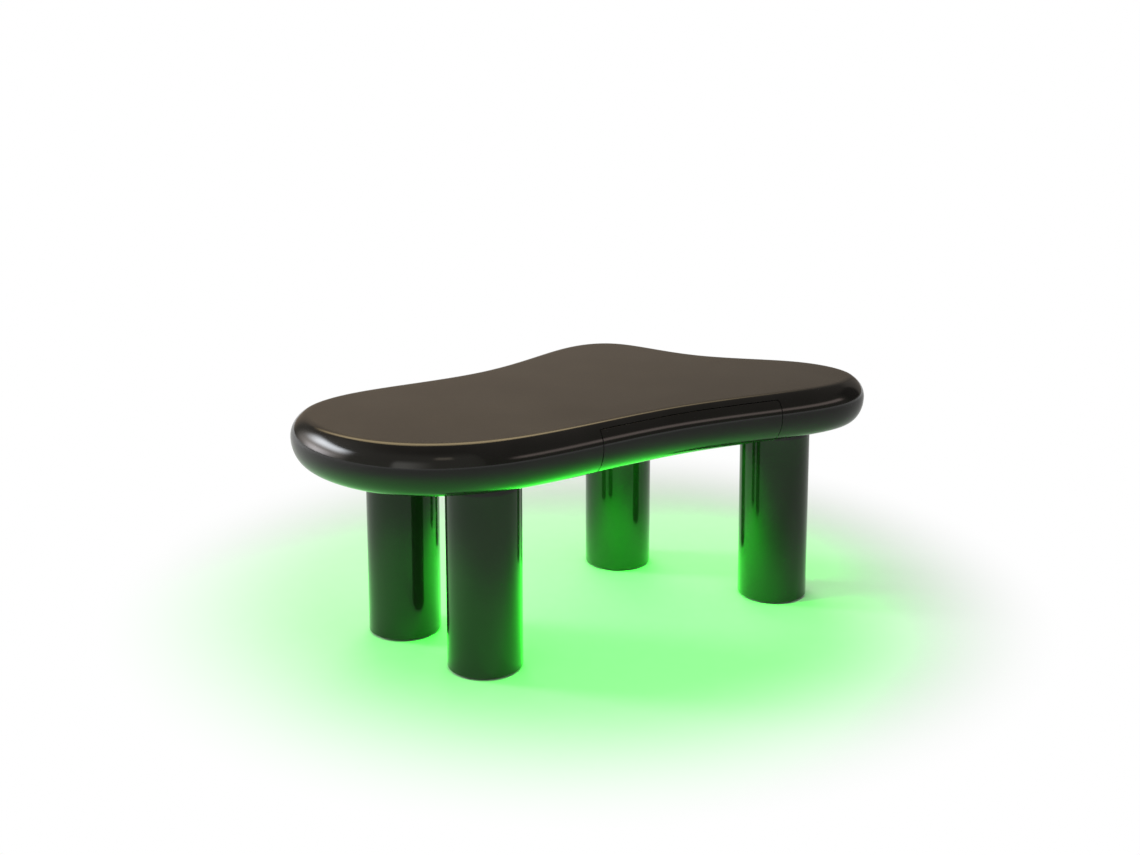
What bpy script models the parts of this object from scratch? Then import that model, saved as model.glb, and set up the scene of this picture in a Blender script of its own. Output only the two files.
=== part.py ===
"""A pebble-shaped coffee table that lights the floor beneath it.

A hollow lacquered top stands on four round legs. A flush drawer without a handle runs
on ball slides in the front rim, and a soft light tube runs in a loop under the top.
Lengths are in metres. The origin is on the floor under the middle, the long side lies
along X, and the drawer opens towards -Y.
"""
import math

import bmesh
import bpy
from mathutils import Matrix, Vector

# Overall sizes
TABLE_HEIGHT = 0.400
SLAB_THICKNESS = 0.084
UNDERSIDE = TABLE_HEIGHT - SLAB_THICKNESS
FIT_GAP = 0.0003

# Plan of the rim at its widest, as the corners that pull a closed smooth curve
OUTLINE_CORNERS = (
    (-0.485, -0.176), (-0.276, -0.301), (0.075, -0.225), (0.392, -0.296),
    (0.512, -0.217), (0.488, -0.055), (0.314, 0.060), (0.285, 0.255),
    (0.147, 0.294), (-0.083, 0.147), (-0.357, 0.182), (-0.518, 0.081),
)
POINTS_PER_CORNER = 8

# Rim section: two quarter ellipses that meet at the widest line
WIDEST_HEIGHT = 0.364
UPPER_REACH = 0.044
UPPER_RISE = 0.040
UPPER_END = 0.97
LOWER_REACH = 0.036
CREASE_SOFTENING = 0.003
UPPER_STEPS = 5
LOWER_STEPS = 6

# Inside of the top
TOP_BOARD = 0.018
CEILING = TABLE_HEIGHT - TOP_BOARD
CAVITY_INSET = 0.066
REBATE_INSET = 0.050
PANEL_THICKNESS = 0.012
PANEL_LOW = UNDERSIDE + 0.001
PANEL_HIGH = PANEL_LOW + PANEL_THICKNESS
LEDGE = PANEL_HIGH + FIT_GAP
PANEL_SCREW_INSET = 0.058
PANEL_SCREW_PLACES = (0.45, 2.5, 3.4, 4.9, 6.3, 7.5, 8.4, 10.3)
PANEL_SCREW_RADIUS = 0.0023
PANEL_HEAD_RADIUS = 0.0046
PANEL_HEAD_DEPTH = 0.0028

# How far cutters and drills run past what they cut
PAST = 0.010
CLEAR_FRONT = -0.400
CLEAR_BELOW = UNDERSIDE - 5 * PAST

# Legs and what fastens them
LEG_RADIUS = 0.061
LEG_LOW = 0.003
LEG_HIGH = PANEL_LOW - FIT_GAP
LEG_PLACES = {
    "back_left": (-0.293, 0.051),
    "front_left": (-0.245, -0.150),
    "back_right": (0.187, 0.129),
    "front_right": (0.340, -0.147),
}
LEG_EDGE = 0.0015
LEG_SIDES = 40
FELT_RADIUS = 0.050
FELT_THICKNESS = 0.0017
FOOT_RADIUS = 0.055
FOOT_LOW = FELT_THICKNESS + FIT_GAP
FOOT_HIGH = 0.010
BOLT_RADIUS = 0.005
BOLT_BORE = BOLT_RADIUS + FIT_GAP
BOLT_LOW = 0.282
BOLT_HIGH = 0.352
BOLT_CHAMFER = 0.001
BOLT_POINT = 0.006
BOLT_END_ROOM = 0.001
NUT_BARREL_RADIUS = 0.007
NUT_FLANGE_RADIUS = 0.015
NUT_FLANGE_THICKNESS = 0.0018
NUT_SHORT = 0.001
BLOCK_RADIUS = 0.042

# Drawer opening in the front rim
OPENING_LEFT = -0.092
OPENING_RIGHT = 0.262
OPENING_TOP = 0.392
OPENING_MIDDLE = (OPENING_LEFT + OPENING_RIGHT) / 2
SEAM = 0.0015
TOP_SEAM = 0.0012
FRONT_BACK_FACE = -0.190
FRONT_LEFT = OPENING_LEFT + SEAM
FRONT_RIGHT = OPENING_RIGHT - SEAM
FRONT_TOP = OPENING_TOP - TOP_SEAM
MOUTH_BEHIND = 0.002
THROAT_DEPTH = 0.030
PANEL_SIDE_ROOM = 0.004
PANEL_FRONT_ROOM = 0.001
FINGER_GROOVE_WIDTH = 0.130
FINGER_GROOVE_DEPTH = 0.017
FINGER_GROOVE_HEIGHT = 0.016
FINGER_GROOVE_EASE = 0.004

# Drawer box
BOARD = 0.010
SLIDE_WIDTH = 0.0100
CHEEK_THICKNESS = 0.012
CHEEK_INNER_LEFT = -0.090
CHEEK_INNER_RIGHT = 0.260
CHEEK_FRONT = -0.187
CHEEK_BACK = 0.030
BOX_LOW = 0.333
BOX_HIGH = 0.377
BOX_FRONT = FRONT_BACK_FACE + FIT_GAP
BOX_BACK = 0.022
BOX_LEFT = CHEEK_INNER_LEFT + SLIDE_WIDTH + 2 * FIT_GAP
BOX_RIGHT = CHEEK_INNER_RIGHT - SLIDE_WIDTH - 2 * FIT_GAP
BOTTOM_THICKNESS = 0.005
GROOVE_LOW = 0.338
GROOVE_DEPTH = 0.005
BOARD_EDGE = 0.0008

# Wood screws, pointing along their own +Z
SCREW_POINT = 0.003
SCREW_HEAD_TAPER = 0.0007
SCREW_SIDES = 10
FRONT_SCREW_RADIUS = 0.0017
FRONT_SCREW_HEAD = (0.0040, 0.0020)
FRONT_SCREW_REACH = 0.015
FRONT_SCREW_INSET = 0.040
FRONT_PILOT_RADIUS = 0.0022
FRONT_PILOT_DEPTH = 0.016
FRONT_HOLE_RADIUS = 0.0020
EAR_SCREW_RADIUS = 0.0015
EAR_SCREW_HEAD = (0.0034, 0.0018)
EAR_SCREW_REACH = 0.009
EAR_PILOT_RADIUS = 0.0018
EAR_PILOT_DEPTH = 0.010

# Ball slides, in section: across from the cheek, and up from the slide's middle
SLIDE_HALF_HEIGHT = 0.0135
SLIDE_SHEET = 0.0012
SLIDE_PLAY = 0.0002
SLIDE_MIDDLE = (BOX_LOW + BOX_HIGH) / 2
SLIDE_FRONT = -0.186
SLIDE_BACK = 0.024
SLIDE_LENGTH = SLIDE_BACK - SLIDE_FRONT
SLIDE_MIDDLE_Y = (SLIDE_FRONT + SLIDE_BACK) / 2
LIP_DROP = 0.0040
INNER_HALF_HEIGHT = 0.0069
INNER_START = 0.0030
BALL_RADIUS = 0.0023
BALL_ACROSS = 0.0050
BALL_UP = 0.0095
BALLS_PER_ROW = 5
BALL_PITCH = 0.0125
CAGE_HALF_LENGTH = BALLS_PER_ROW * BALL_PITCH / 2
CAGE_SHEET = 0.0007
CAGE_ACROSS = 0.0016
CAGE_EDGE = 0.0079
CAGE_CORNER = 0.0004

# Light tube under the top
LOOP_CENTRE = (0.045, -0.058)
LOOP_HALF_LENGTH = 0.200
LOOP_HALF_WIDTH = 0.100
LOOP_BACK = LOOP_CENTRE[1] + LOOP_HALF_WIDTH
LOOP_CORNER = 0.065
LOOP_ARC_STEPS = 6
LOOP_END_LEFT = -0.030
LOOP_END_RIGHT = -0.018
LOOP_GAP_MIDDLE = (LOOP_END_LEFT + LOOP_END_RIGHT) / 2
TUBE_HALF_WIDTH = 0.006
TUBE_WALL = 0.0012
TUBE_TOP = 0.3154
TUBE_SKIRT = 0.308
LENS_LOW = 0.3025
LENS_STEPS = 4
STRIP_HALF_WIDTH = 0.0042
STRIP_LOW = 0.3130
STRIP_HIGH = 0.3137
END_CAP_LENGTH = 0.0045
END_CAP_LIFT = 0.0005
END_CAP_EASE = 0.0006
CLIP_LENGTH = 0.018
CLIP_WALL = 0.0013
CLIP_REACH = 0.0062
BACK_CLIP_SHIFT = 0.040

# Light controller under the back of the top
CASE_LEFT = -0.066
CASE_RIGHT = 0.018
CASE_FRONT = 0.064
CASE_BACK = 0.106
CASE_MIDDLE_Y = (CASE_FRONT + CASE_BACK) / 2
CASE_LOW = 0.296
CASE_HIGH = PANEL_LOW - FIT_GAP
CASE_WALL = 0.002
CASE_CORNER = 0.005
EAR_LENGTH = 0.012
EAR_HALF_WIDTH = 0.007
EAR_THICKNESS = 0.003
EAR_CORNER = 0.004
EAR_HOLE_RADIUS = 0.0021
POST_HALF_WIDTH = 0.002
POST_INSET = 0.006
POST_SUNK = 0.001
WALL_DRILL = 0.006
BUTTON_PLACE = (-0.046, 0.085)
BUTTON_RADIUS = 0.006
BUTTON_PROUD = 0.0015
BUTTON_EASE = 0.0008
BUTTON_FLANGE_REACH = 0.0015
BUTTON_FLANGE_THICKNESS = 0.001
BOARD_LOW = 0.303
BOARD_THICKNESS = 0.0016
BOARD_BACK = 0.0915
BOARD_CLEARANCE = 0.0010
SWITCH_HALF_WIDTH = 0.003
SWITCH_HEIGHT = 0.0015
FITTING_SUNK = 0.0004
BOARD_FITTINGS = {
    "driver_chip": ((-0.030, 0.072), (0.010, 0.008, 0.0018)),
    "power_chip": ((-0.012, 0.070), (0.008, 0.012, 0.0044)),
    "lead_terminal": ((-0.044, 0.068), (0.010, 0.008, 0.0064)),
}
JACK_PLACE = (-0.004, 0.306)
JACK_RADIUS = 0.0052
JACK_BORE = 0.0030
JACK_PIN_RADIUS = 0.0010
JACK_PIN_SUNK = 0.002
JACK_BORE_DEPTH = 0.010
JACK_DEPTH = 0.013
JACK_PROUD = 0.0005
LEAD_RADIUS = 0.0016
LEAD_HEIGHT = 0.309
LEAD_SAG = 0.0006
LEAD_STATIONS = 7
LEAD_START = LOOP_BACK + TUBE_HALF_WIDTH + 0.0004
LEAD_END = CASE_FRONT + CASE_WALL + 0.001

# Colour, roughness and metallic value of each finish
FINISHES = {
    "black_lacquer": ((0.012, 0.011, 0.010), 0.22, 0.0),
    "black_board": ((0.018, 0.017, 0.016), 0.6, 0.0),
    "ply": ((0.42, 0.29, 0.17), 0.6, 0.0),
    "felt": ((0.03, 0.03, 0.03), 0.95, 0.0),
    "black_plastic": ((0.02, 0.02, 0.02), 0.45, 0.0),
    "steel": ((0.55, 0.56, 0.58), 0.3, 1.0),
    "white_silicone": ((0.75, 0.77, 0.75), 0.5, 0.0),
    "green_lens": ((0.10, 0.85, 0.12), 0.35, 0.0),
    "circuit_board": ((0.02, 0.16, 0.06), 0.5, 0.0),
}


# Scene, objects and modelling helpers
def clear_scene():
    for item in list(bpy.data.objects):
        bpy.data.objects.remove(item, do_unlink=True)


def make_collection(name):
    collection = bpy.data.collections.new(name)
    bpy.context.scene.collection.children.link(collection)
    return collection


clear_scene()
PARTS = make_collection("light_up_table")
CUTTERS = make_collection("cutters")


def finish(name):
    material = bpy.data.materials.get(name)
    if material:
        return material
    colour, roughness, metallic = FINISHES[name]
    material = bpy.data.materials.new(name)
    material.use_nodes = True
    shader = material.node_tree.nodes["Principled BSDF"]
    shader.inputs["Base Color"].default_value = (*colour, 1.0)
    shader.inputs["Roughness"].default_value = roughness
    shader.inputs["Metallic"].default_value = metallic
    return material


def add_object(name, data, finish_name=None):
    """Link an object: with a finish it is a part, and without one it is a cutter."""
    item = bpy.data.objects.new(name, data)
    if finish_name:
        PARTS.objects.link(item)
        data.materials.append(finish(finish_name))
    else:
        CUTTERS.objects.link(item)
    return item


def shade_round(mesh, angle=35.0):
    mesh.shade_smooth()
    mesh.set_sharp_from_angle(angle=math.radians(angle))


def mesh_from(bm, name):
    bmesh.ops.recalc_face_normals(bm, faces=bm.faces)
    mesh = bpy.data.meshes.new(name)
    bm.to_mesh(mesh)
    bm.free()
    return mesh


def applied_mesh(item, name):
    """The mesh that an object's modifiers or curve settings make, welded and closed."""
    bpy.context.view_layer.update()
    graph = bpy.context.evaluated_depsgraph_get()
    mesh = bpy.data.meshes.new_from_object(item.evaluated_get(graph))
    mesh.name = name
    bm = bmesh.new()
    bm.from_mesh(mesh)
    bmesh.ops.remove_doubles(bm, verts=bm.verts, dist=0.00001)
    bmesh.ops.recalc_face_normals(bm, faces=bm.faces)
    bm.to_mesh(mesh)
    bm.free()
    return mesh


def block(name, low, high, finish_name=None, edge=0.0):
    """A board or box between two corners, its edges eased by a small bevel."""
    low, high = Vector(low), Vector(high)
    bm = bmesh.new()
    bmesh.ops.create_cube(bm, size=1.0)
    bmesh.ops.scale(bm, vec=high - low, verts=bm.verts)
    item = add_object(name, mesh_from(bm, name), finish_name)
    item.location = (low + high) / 2
    if edge:
        bevel = item.modifiers.new("eased edges", "BEVEL")
        bevel.width = edge
        bevel.segments = 1
    return item


def turned_mesh(name, profile, sides, closed=False):
    """Spin a profile of (radius, height) pairs, listed down its outer side, round Z."""
    bm = bmesh.new()
    points = [bm.verts.new((radius, 0.0, height)) for radius, height in profile]
    for start, end in zip(points, points[1:]):
        bm.edges.new((start, end))
    if closed:
        bm.edges.new((points[-1], points[0]))
    line = bpy.data.meshes.new(name + " profile")
    bm.to_mesh(line)
    bm.free()
    item = add_object(name + " profile", line)
    screw = item.modifiers.new("turn", "SCREW")
    screw.steps = sides
    screw.render_steps = sides
    screw.use_merge_vertices = True
    screw.merge_threshold = 0.00001
    mesh = applied_mesh(item, name)
    bpy.data.objects.remove(item)
    return mesh


def turned(name, profile, finish_name, place=(0, 0, 0), sides=48, closed=False, turn=None):
    mesh = turned_mesh(name, profile, sides, closed)
    shade_round(mesh)
    item = add_object(name, mesh, finish_name)
    item.matrix_world = Matrix.Translation(place) @ (turn or Matrix())
    return item


def straight(radius, high, low):
    """Profile of a plain disc, pin or drill."""
    return ((0, high), (radius, high), (radius, low), (0, low))


def screw_profile(radius, head, seat, tip):
    """Profile of a wood screw whose head lies under its seat and whose tip points up."""
    head_radius, head_height = head
    low = seat - head_height
    return ((0, tip), (radius, tip - SCREW_POINT), (radius, seat), (head_radius, seat),
            (head_radius - SCREW_HEAD_TAPER, low), (0, low))


def cutters_at(name, mesh, places):
    """One cutter that holds a separate copy of a mesh at each placing matrix."""
    bm = bmesh.new()
    for place in places:
        copy = mesh.copy()
        copy.transform(place)
        bm.from_mesh(copy)
        bpy.data.meshes.remove(copy)
    return add_object(name, mesh_from(bm, name))


def extrusion(name, loops, depth, finish_name=None, matrix=None):
    """A flat outline with holes, given half its depth each way from its plane."""
    curve = bpy.data.curves.new(name, "CURVE")
    curve.dimensions = "2D"
    curve.fill_mode = "BOTH"
    curve.extrude = depth / 2
    for loop in loops:
        spline = curve.splines.new("POLY")
        spline.points.add(len(loop) - 1)
        spline.use_cyclic_u = True
        for point, (across, up) in zip(spline.points, loop):
            point.co = (across, up, 0.0, 1.0)
    flat = add_object(name + " outline", curve)
    mesh = applied_mesh(flat, name)
    bpy.data.objects.remove(flat)
    item = add_object(name, mesh, finish_name)
    item.matrix_world = matrix or Matrix()
    return item


def loft(name, rings, finish_name):
    """Join closed rings of like point counts one to the next, and cap both ends."""
    bm = bmesh.new()
    rows = [[bm.verts.new(point) for point in ring] for ring in rings]
    count = len(rows[0])
    for first, second in zip(rows, rows[1:]):
        for index in range(count):
            after = (index + 1) % count
            bm.faces.new((first[index], first[after], second[after], second[index]))
    bm.faces.new(rows[0])
    bm.faces.new(rows[-1])
    item = add_object(name, mesh_from(bm, name), finish_name)
    shade_round(item.data)
    return item


def cut(item, cutter, operation="DIFFERENCE"):
    cutter.display_type = "WIRE"
    cutter.hide_render = True
    boolean = item.modifiers.new("cut by " + cutter.name, "BOOLEAN")
    boolean.operation = operation
    boolean.solver = "EXACT"
    boolean.object = cutter


def upright(x, y):
    return Matrix.Translation((x, y, 0.0))


def level(height):
    return Matrix.Translation((0.0, 0.0, height))


def circle(centre, radius, steps):
    turn = 2 * math.pi / steps
    return [(centre[0] + radius * math.cos(i * turn), centre[1] + radius * math.sin(i * turn))
            for i in range(steps)]


def rounded_rectangle(left, low, right, high, radius, steps=4):
    """Corner points of a rectangle with arcs for corners, counter-clockwise."""
    corners = ((right - radius, low + radius, -90), (right - radius, high - radius, 0),
               (left + radius, high - radius, 90), (left + radius, low + radius, 180))
    points = []
    for x, y, start in corners:
        for step in range(steps + 1):
            angle = math.radians(start + 90 * step / steps)
            points.append((x + radius * math.cos(angle), y + radius * math.sin(angle)))
    return points


# The plan curve
def raw_outline(place):
    """Point and travel direction on the closed cubic B-spline, place in corners."""
    count = len(OUTLINE_CORNERS)
    index = int(math.floor(place)) % count
    u = place - math.floor(place)
    weights = ((1 - u) ** 3 / 6, (3 * u ** 3 - 6 * u ** 2 + 4) / 6,
               (-3 * u ** 3 + 3 * u ** 2 + 3 * u + 1) / 6, u ** 3 / 6)
    slopes = (-(1 - u) ** 2 / 2, (3 * u ** 2 - 4 * u) / 2,
              (-3 * u ** 2 + 2 * u + 1) / 2, u ** 2 / 2)
    corners = [Vector(OUTLINE_CORNERS[(index + step) % count]) for step in range(4)]
    point = sum((corner * weight for corner, weight in zip(corners, weights)), Vector((0, 0)))
    along = sum((corner * slope for corner, slope in zip(corners, slopes)), Vector((0, 0)))
    return point, along.normalized()


def outline_places():
    total = len(OUTLINE_CORNERS) * POINTS_PER_CORNER
    return [step / POINTS_PER_CORNER for step in range(total)]


def outline_middle():
    points = [raw_outline(place)[0] for place in outline_places()]
    xs = [point.x for point in points]
    ys = [point.y for point in points]
    return Vector(((min(xs) + max(xs)) / 2, (min(ys) + max(ys)) / 2))


MIDDLE = outline_middle()


def outline_point(place, inset=0.0):
    """A point on the plan curve, drawn inwards by the inset, about the table's middle."""
    point, along = raw_outline(place)
    inwards = Vector((-along.y, along.x))
    return point + inwards * inset - MIDDLE


def outline_ring(inset, height):
    return [(*outline_point(place, inset), height) for place in outline_places()]


def rim_section():
    """Inset and height from the flat top, over the crease and round to the underside."""
    crease_angle = math.asin((TABLE_HEIGHT - WIDEST_HEIGHT) / UPPER_RISE)
    crease_inset = UPPER_REACH * (1 - math.cos(crease_angle))
    section = [(crease_inset + CREASE_SOFTENING, TABLE_HEIGHT)]
    for step in range(UPPER_STEPS + 1):
        angle = crease_angle * (1 - step / UPPER_STEPS) * UPPER_END
        section.append((UPPER_REACH * (1 - math.cos(angle)),
                        WIDEST_HEIGHT + UPPER_RISE * math.sin(angle)))
    lower_drop = WIDEST_HEIGHT - UNDERSIDE
    for step in range(1, LOWER_STEPS + 1):
        angle = math.pi / 2 * step / LOWER_STEPS
        section.append((LOWER_REACH * (1 - math.cos(angle)),
                        WIDEST_HEIGHT - lower_drop * math.sin(angle)))
    return section


# The top
def make_top():
    """The hollow lacquered top: rim, board and the ledge that takes the base panel."""
    section = rim_section()
    section += [(REBATE_INSET, UNDERSIDE), (REBATE_INSET, LEDGE), (CAVITY_INSET, LEDGE),
                (CAVITY_INSET, CEILING)]
    rings = [outline_ring(inset, height) for inset, height in section]
    top = loft("table_top", rings, "black_lacquer")
    mouth = block("drawer_mouth", (OPENING_LEFT, CLEAR_FRONT, CLEAR_BELOW),
                  (OPENING_RIGHT, FRONT_BACK_FACE + MOUTH_BEHIND, OPENING_TOP))
    throat = block("drawer_throat", (OPENING_LEFT, CLEAR_FRONT + PAST, CLEAR_BELOW + PAST),
                   (OPENING_RIGHT, FRONT_BACK_FACE + THROAT_DEPTH, CEILING))
    cut(top, mouth)
    cut(top, throat)


def make_base_panel():
    """The board that closes the top from below and carries the legs and the light."""
    outline = [tuple(outline_point(place, REBATE_INSET + FIT_GAP)) for place in outline_places()]
    middle = level((PANEL_LOW + PANEL_HIGH) / 2)
    panel = extrusion("base_panel", [outline], PANEL_THICKNESS, "black_board", middle)
    clearance = block("front_clearance", (OPENING_LEFT - PANEL_SIDE_ROOM, CLEAR_FRONT, CLEAR_BELOW),
                      (OPENING_RIGHT + PANEL_SIDE_ROOM, FRONT_BACK_FACE + PANEL_FRONT_ROOM, CEILING))
    cut(panel, clearance)
    drill_high, drill_low = PANEL_HIGH + PAST, PANEL_LOW - PAST
    shoulder = PANEL_LOW + PANEL_HEAD_DEPTH
    stepped = ((0, drill_high), (PANEL_SCREW_RADIUS, drill_high), (PANEL_SCREW_RADIUS, shoulder),
               (PANEL_HEAD_RADIUS, shoulder), (PANEL_HEAD_RADIUS, drill_low), (0, drill_low))
    screw_drill = turned_mesh("stepped drill", stepped, 8)
    screw_places = [upright(*outline_point(place, PANEL_SCREW_INSET)) for place in PANEL_SCREW_PLACES]
    cut(panel, cutters_at("panel_screw_holes", screw_drill, screw_places))
    nut_drill = turned_mesh("nut drill", straight(NUT_BARREL_RADIUS + FIT_GAP, drill_high, drill_low), 16)
    cut(panel, cutters_at("leg_nut_holes", nut_drill, [upright(*at) for at in LEG_PLACES.values()]))
    pilot = turned_mesh("ear pilot", straight(EAR_PILOT_RADIUS, PANEL_LOW + EAR_PILOT_DEPTH, drill_low), 8)
    ear_places = [upright(x, CASE_MIDDLE_Y) for x in ear_screw_places()]
    cut(panel, cutters_at("ear_screw_pilots", pilot, ear_places))


# The legs
def make_leg(side, place):
    """A turned leg, bored for its bolt above and recessed for its foot below."""
    recess = FOOT_RADIUS + FIT_GAP
    roof = FOOT_HIGH + FIT_GAP
    bore_end = BOLT_LOW - BOLT_END_ROOM
    profile = (
        (0, bore_end), (BOLT_BORE, bore_end), (BOLT_BORE, LEG_HIGH), (LEG_RADIUS - LEG_EDGE, LEG_HIGH),
        (LEG_RADIUS, LEG_HIGH - LEG_EDGE), (LEG_RADIUS, LEG_LOW + LEG_EDGE), (LEG_RADIUS - LEG_EDGE, LEG_LOW),
        (recess, LEG_LOW), (recess, roof), (0, roof),
    )
    turned("leg_" + side, profile, "black_lacquer", place, LEG_SIDES)
    turned("foot_disc_" + side, straight(FOOT_RADIUS, FOOT_HIGH, FOOT_LOW), "black_plastic", place, 32)
    turned("felt_pad_" + side, straight(FELT_RADIUS, FELT_THICKNESS, 0), "felt", place, 32)


def make_leg_block(side, place):
    """A turned block between the base panel and the board of the top, over a leg."""
    flange_room = NUT_FLANGE_RADIUS + FIT_GAP
    recess_high = LEDGE + NUT_FLANGE_THICKNESS + 2 * FIT_GAP
    bore_end = BOLT_HIGH + BOLT_END_ROOM
    profile = (
        (0, CEILING - FIT_GAP), (BLOCK_RADIUS, CEILING - FIT_GAP), (BLOCK_RADIUS, LEDGE),
        (flange_room, LEDGE), (flange_room, recess_high), (BOLT_BORE, recess_high),
        (BOLT_BORE, bore_end), (0, bore_end),
    )
    turned("leg_block_" + side, profile, "ply", place, 20)


def make_leg_fixing(side, place):
    """The bolt that draws a leg up, and the flanged nut that it turns in."""
    tip = BOLT_RADIUS - BOLT_CHAMFER
    bolt = ((0, BOLT_HIGH), (tip, BOLT_HIGH), (BOLT_RADIUS, BOLT_HIGH - BOLT_CHAMFER),
            (BOLT_RADIUS, BOLT_LOW + BOLT_POINT), (tip / 2, BOLT_LOW), (0, BOLT_LOW))
    turned("leg_bolt_" + side, bolt, "steel", place, 12)
    flange_high = LEDGE + NUT_FLANGE_THICKNESS
    barrel_low = PANEL_LOW + NUT_SHORT
    nut = ((NUT_FLANGE_RADIUS, flange_high), (NUT_FLANGE_RADIUS, LEDGE), (NUT_BARREL_RADIUS, LEDGE),
           (NUT_BARREL_RADIUS, barrel_low), (BOLT_BORE, barrel_low), (BOLT_BORE, flange_high))
    turned("leg_nut_" + side, nut, "steel", place, 14, closed=True)


# The drawer
def make_drawer_front():
    """A length of the rim itself, cut free, with a finger groove under its back edge."""
    rings = [outline_ring(inset, height) for inset, height in rim_section()]
    front = loft("drawer_front", rings, "black_lacquer")
    piece = block("front_piece", (FRONT_LEFT, CLEAR_FRONT, CLEAR_BELOW),
                  (FRONT_RIGHT, FRONT_BACK_FACE, FRONT_TOP))
    cut(front, piece, "INTERSECT")
    half = FINGER_GROOVE_WIDTH / 2
    groove = block("finger_groove",
                   (OPENING_MIDDLE - half, FRONT_BACK_FACE - FINGER_GROOVE_DEPTH, UNDERSIDE - 2 * PAST),
                   (OPENING_MIDDLE + half, FRONT_BACK_FACE + PAST, UNDERSIDE + FINGER_GROOVE_HEIGHT),
                   edge=FINGER_GROOVE_EASE)
    cut(front, groove)
    pilot = sideways_pin(FRONT_PILOT_RADIUS, FRONT_PILOT_DEPTH, -PAST)
    cut(front, cutters_at("front_screw_pilots", pilot, front_screw_places()))
    return front


def sideways_pin(radius, forward, back, sides=16):
    """A pin along Y, from a plane towards the front (-Y) and a little way back."""
    mesh = turned_mesh("pin", straight(radius, forward, back), sides)
    mesh.transform(Matrix.Rotation(math.radians(90), 4, "X"))
    return mesh


def front_screw_places():
    height = (GROOVE_LOW + BOTTOM_THICKNESS + BOX_HIGH) / 2
    sides = (BOX_LEFT + FRONT_SCREW_INSET, BOX_RIGHT - FRONT_SCREW_INSET)
    return [Matrix.Translation((x, FRONT_BACK_FACE, height)) for x in sides]


def make_front_screws():
    """Two screws through the box front that hold the drawer front."""
    seat = -(BOARD + 2 * FIT_GAP)
    profile = screw_profile(FRONT_SCREW_RADIUS, FRONT_SCREW_HEAD, seat, FRONT_SCREW_REACH)
    facing_front = Matrix.Rotation(math.radians(90), 4, "X")
    return [turned("drawer_front_screw_" + side, profile, "steel", place.translation, SCREW_SIDES,
                   turn=facing_front)
            for side, place in zip(("left", "right"), front_screw_places())]


def make_drawer_box():
    """Five boards: a groove round the inside holds the bottom."""
    inner_left, inner_right = BOX_LEFT + BOARD, BOX_RIGHT - BOARD
    across_left, across_right = inner_left + FIT_GAP, inner_right - FIT_GAP
    inner_front, inner_back = BOX_FRONT + BOARD, BOX_BACK - BOARD
    outer = {
        "drawer_side_left": ((BOX_LEFT, BOX_FRONT), (inner_left, BOX_BACK)),
        "drawer_side_right": ((inner_right, BOX_FRONT), (BOX_RIGHT, BOX_BACK)),
        "drawer_box_front": ((across_left, BOX_FRONT), (across_right, inner_front)),
        "drawer_back": ((across_left, inner_back), (across_right, BOX_BACK)),
    }
    boards = {name: block(name, (*low, BOX_LOW), (*high, BOX_HIGH), "ply", BOARD_EDGE)
              for name, (low, high) in outer.items()}
    groove_low = Vector((inner_left - GROOVE_DEPTH, inner_front - GROOVE_DEPTH, GROOVE_LOW))
    groove_high = Vector((inner_right + GROOVE_DEPTH, inner_back + GROOVE_DEPTH,
                          GROOVE_LOW + BOTTOM_THICKNESS + 2 * FIT_GAP))
    groove = block("drawer_bottom_groove", groove_low, groove_high)
    for board in boards.values():
        cut(board, groove)
    hole = sideways_pin(FRONT_HOLE_RADIUS, PAST, -BOARD - PAST)
    cut(boards["drawer_box_front"], cutters_at("front_screw_holes", hole, front_screw_places()))
    play = Vector((2 * FIT_GAP, 2 * FIT_GAP, FIT_GAP))
    bottom = block("drawer_bottom", groove_low + play, groove_high - play, "ply")
    return [*boards.values(), bottom]


# The slides. The hand is +1 for the left slide and -1 for the mirrored right one.
def slide_extrusion(name, section, wall, hand):
    """Run a slide's section, across X and up Z from the cheek's wall, along its length."""
    matrix = Matrix(((1, 0, 0, wall), (0, 0, -1, SLIDE_MIDDLE_Y), (0, 1, 0, SLIDE_MIDDLE), (0, 0, 0, 1)))
    outline = [(hand * across, up) for across, up in section]
    return extrusion(name, [outline], SLIDE_LENGTH, "steel", matrix)


def make_cheek(side, wall, hand):
    left, right = sorted((wall, wall - hand * CHEEK_THICKNESS))
    block("slide_cheek_" + side, (left, CHEEK_FRONT, LEDGE), (right, CHEEK_BACK, CEILING - FIT_GAP),
          "ply", BOARD_EDGE)


def make_channel(side, wall, hand):
    """The channel on the cheek: its lips turn back to hold the balls."""
    start, width, half, sheet = FIT_GAP, SLIDE_WIDTH - SLIDE_PLAY, SLIDE_HALF_HEIGHT, SLIDE_SHEET
    section = [
        (start, -half), (width, -half), (width, LIP_DROP - half), (width - sheet, LIP_DROP - half),
        (width - sheet, sheet - half), (start + sheet, sheet - half), (start + sheet, half - sheet),
        (width - sheet, half - sheet), (width - sheet, half - LIP_DROP), (width, half - LIP_DROP),
        (width, half), (start, half),
    ]
    return slide_extrusion("slide_channel_" + side, section, wall, hand)


def make_runner(side, wall, hand):
    """The runner on the drawer side: a smaller channel that rides between the balls."""
    start, width, half, sheet = INNER_START, SLIDE_WIDTH + FIT_GAP, INNER_HALF_HEIGHT, SLIDE_SHEET
    section = [
        (start, -half), (width, -half), (width, half), (start, half), (start, half - sheet),
        (width - sheet, half - sheet), (width - sheet, sheet - half), (start, sheet - half),
    ]
    return slide_extrusion("slide_runner_" + side, section, wall, hand)


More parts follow.
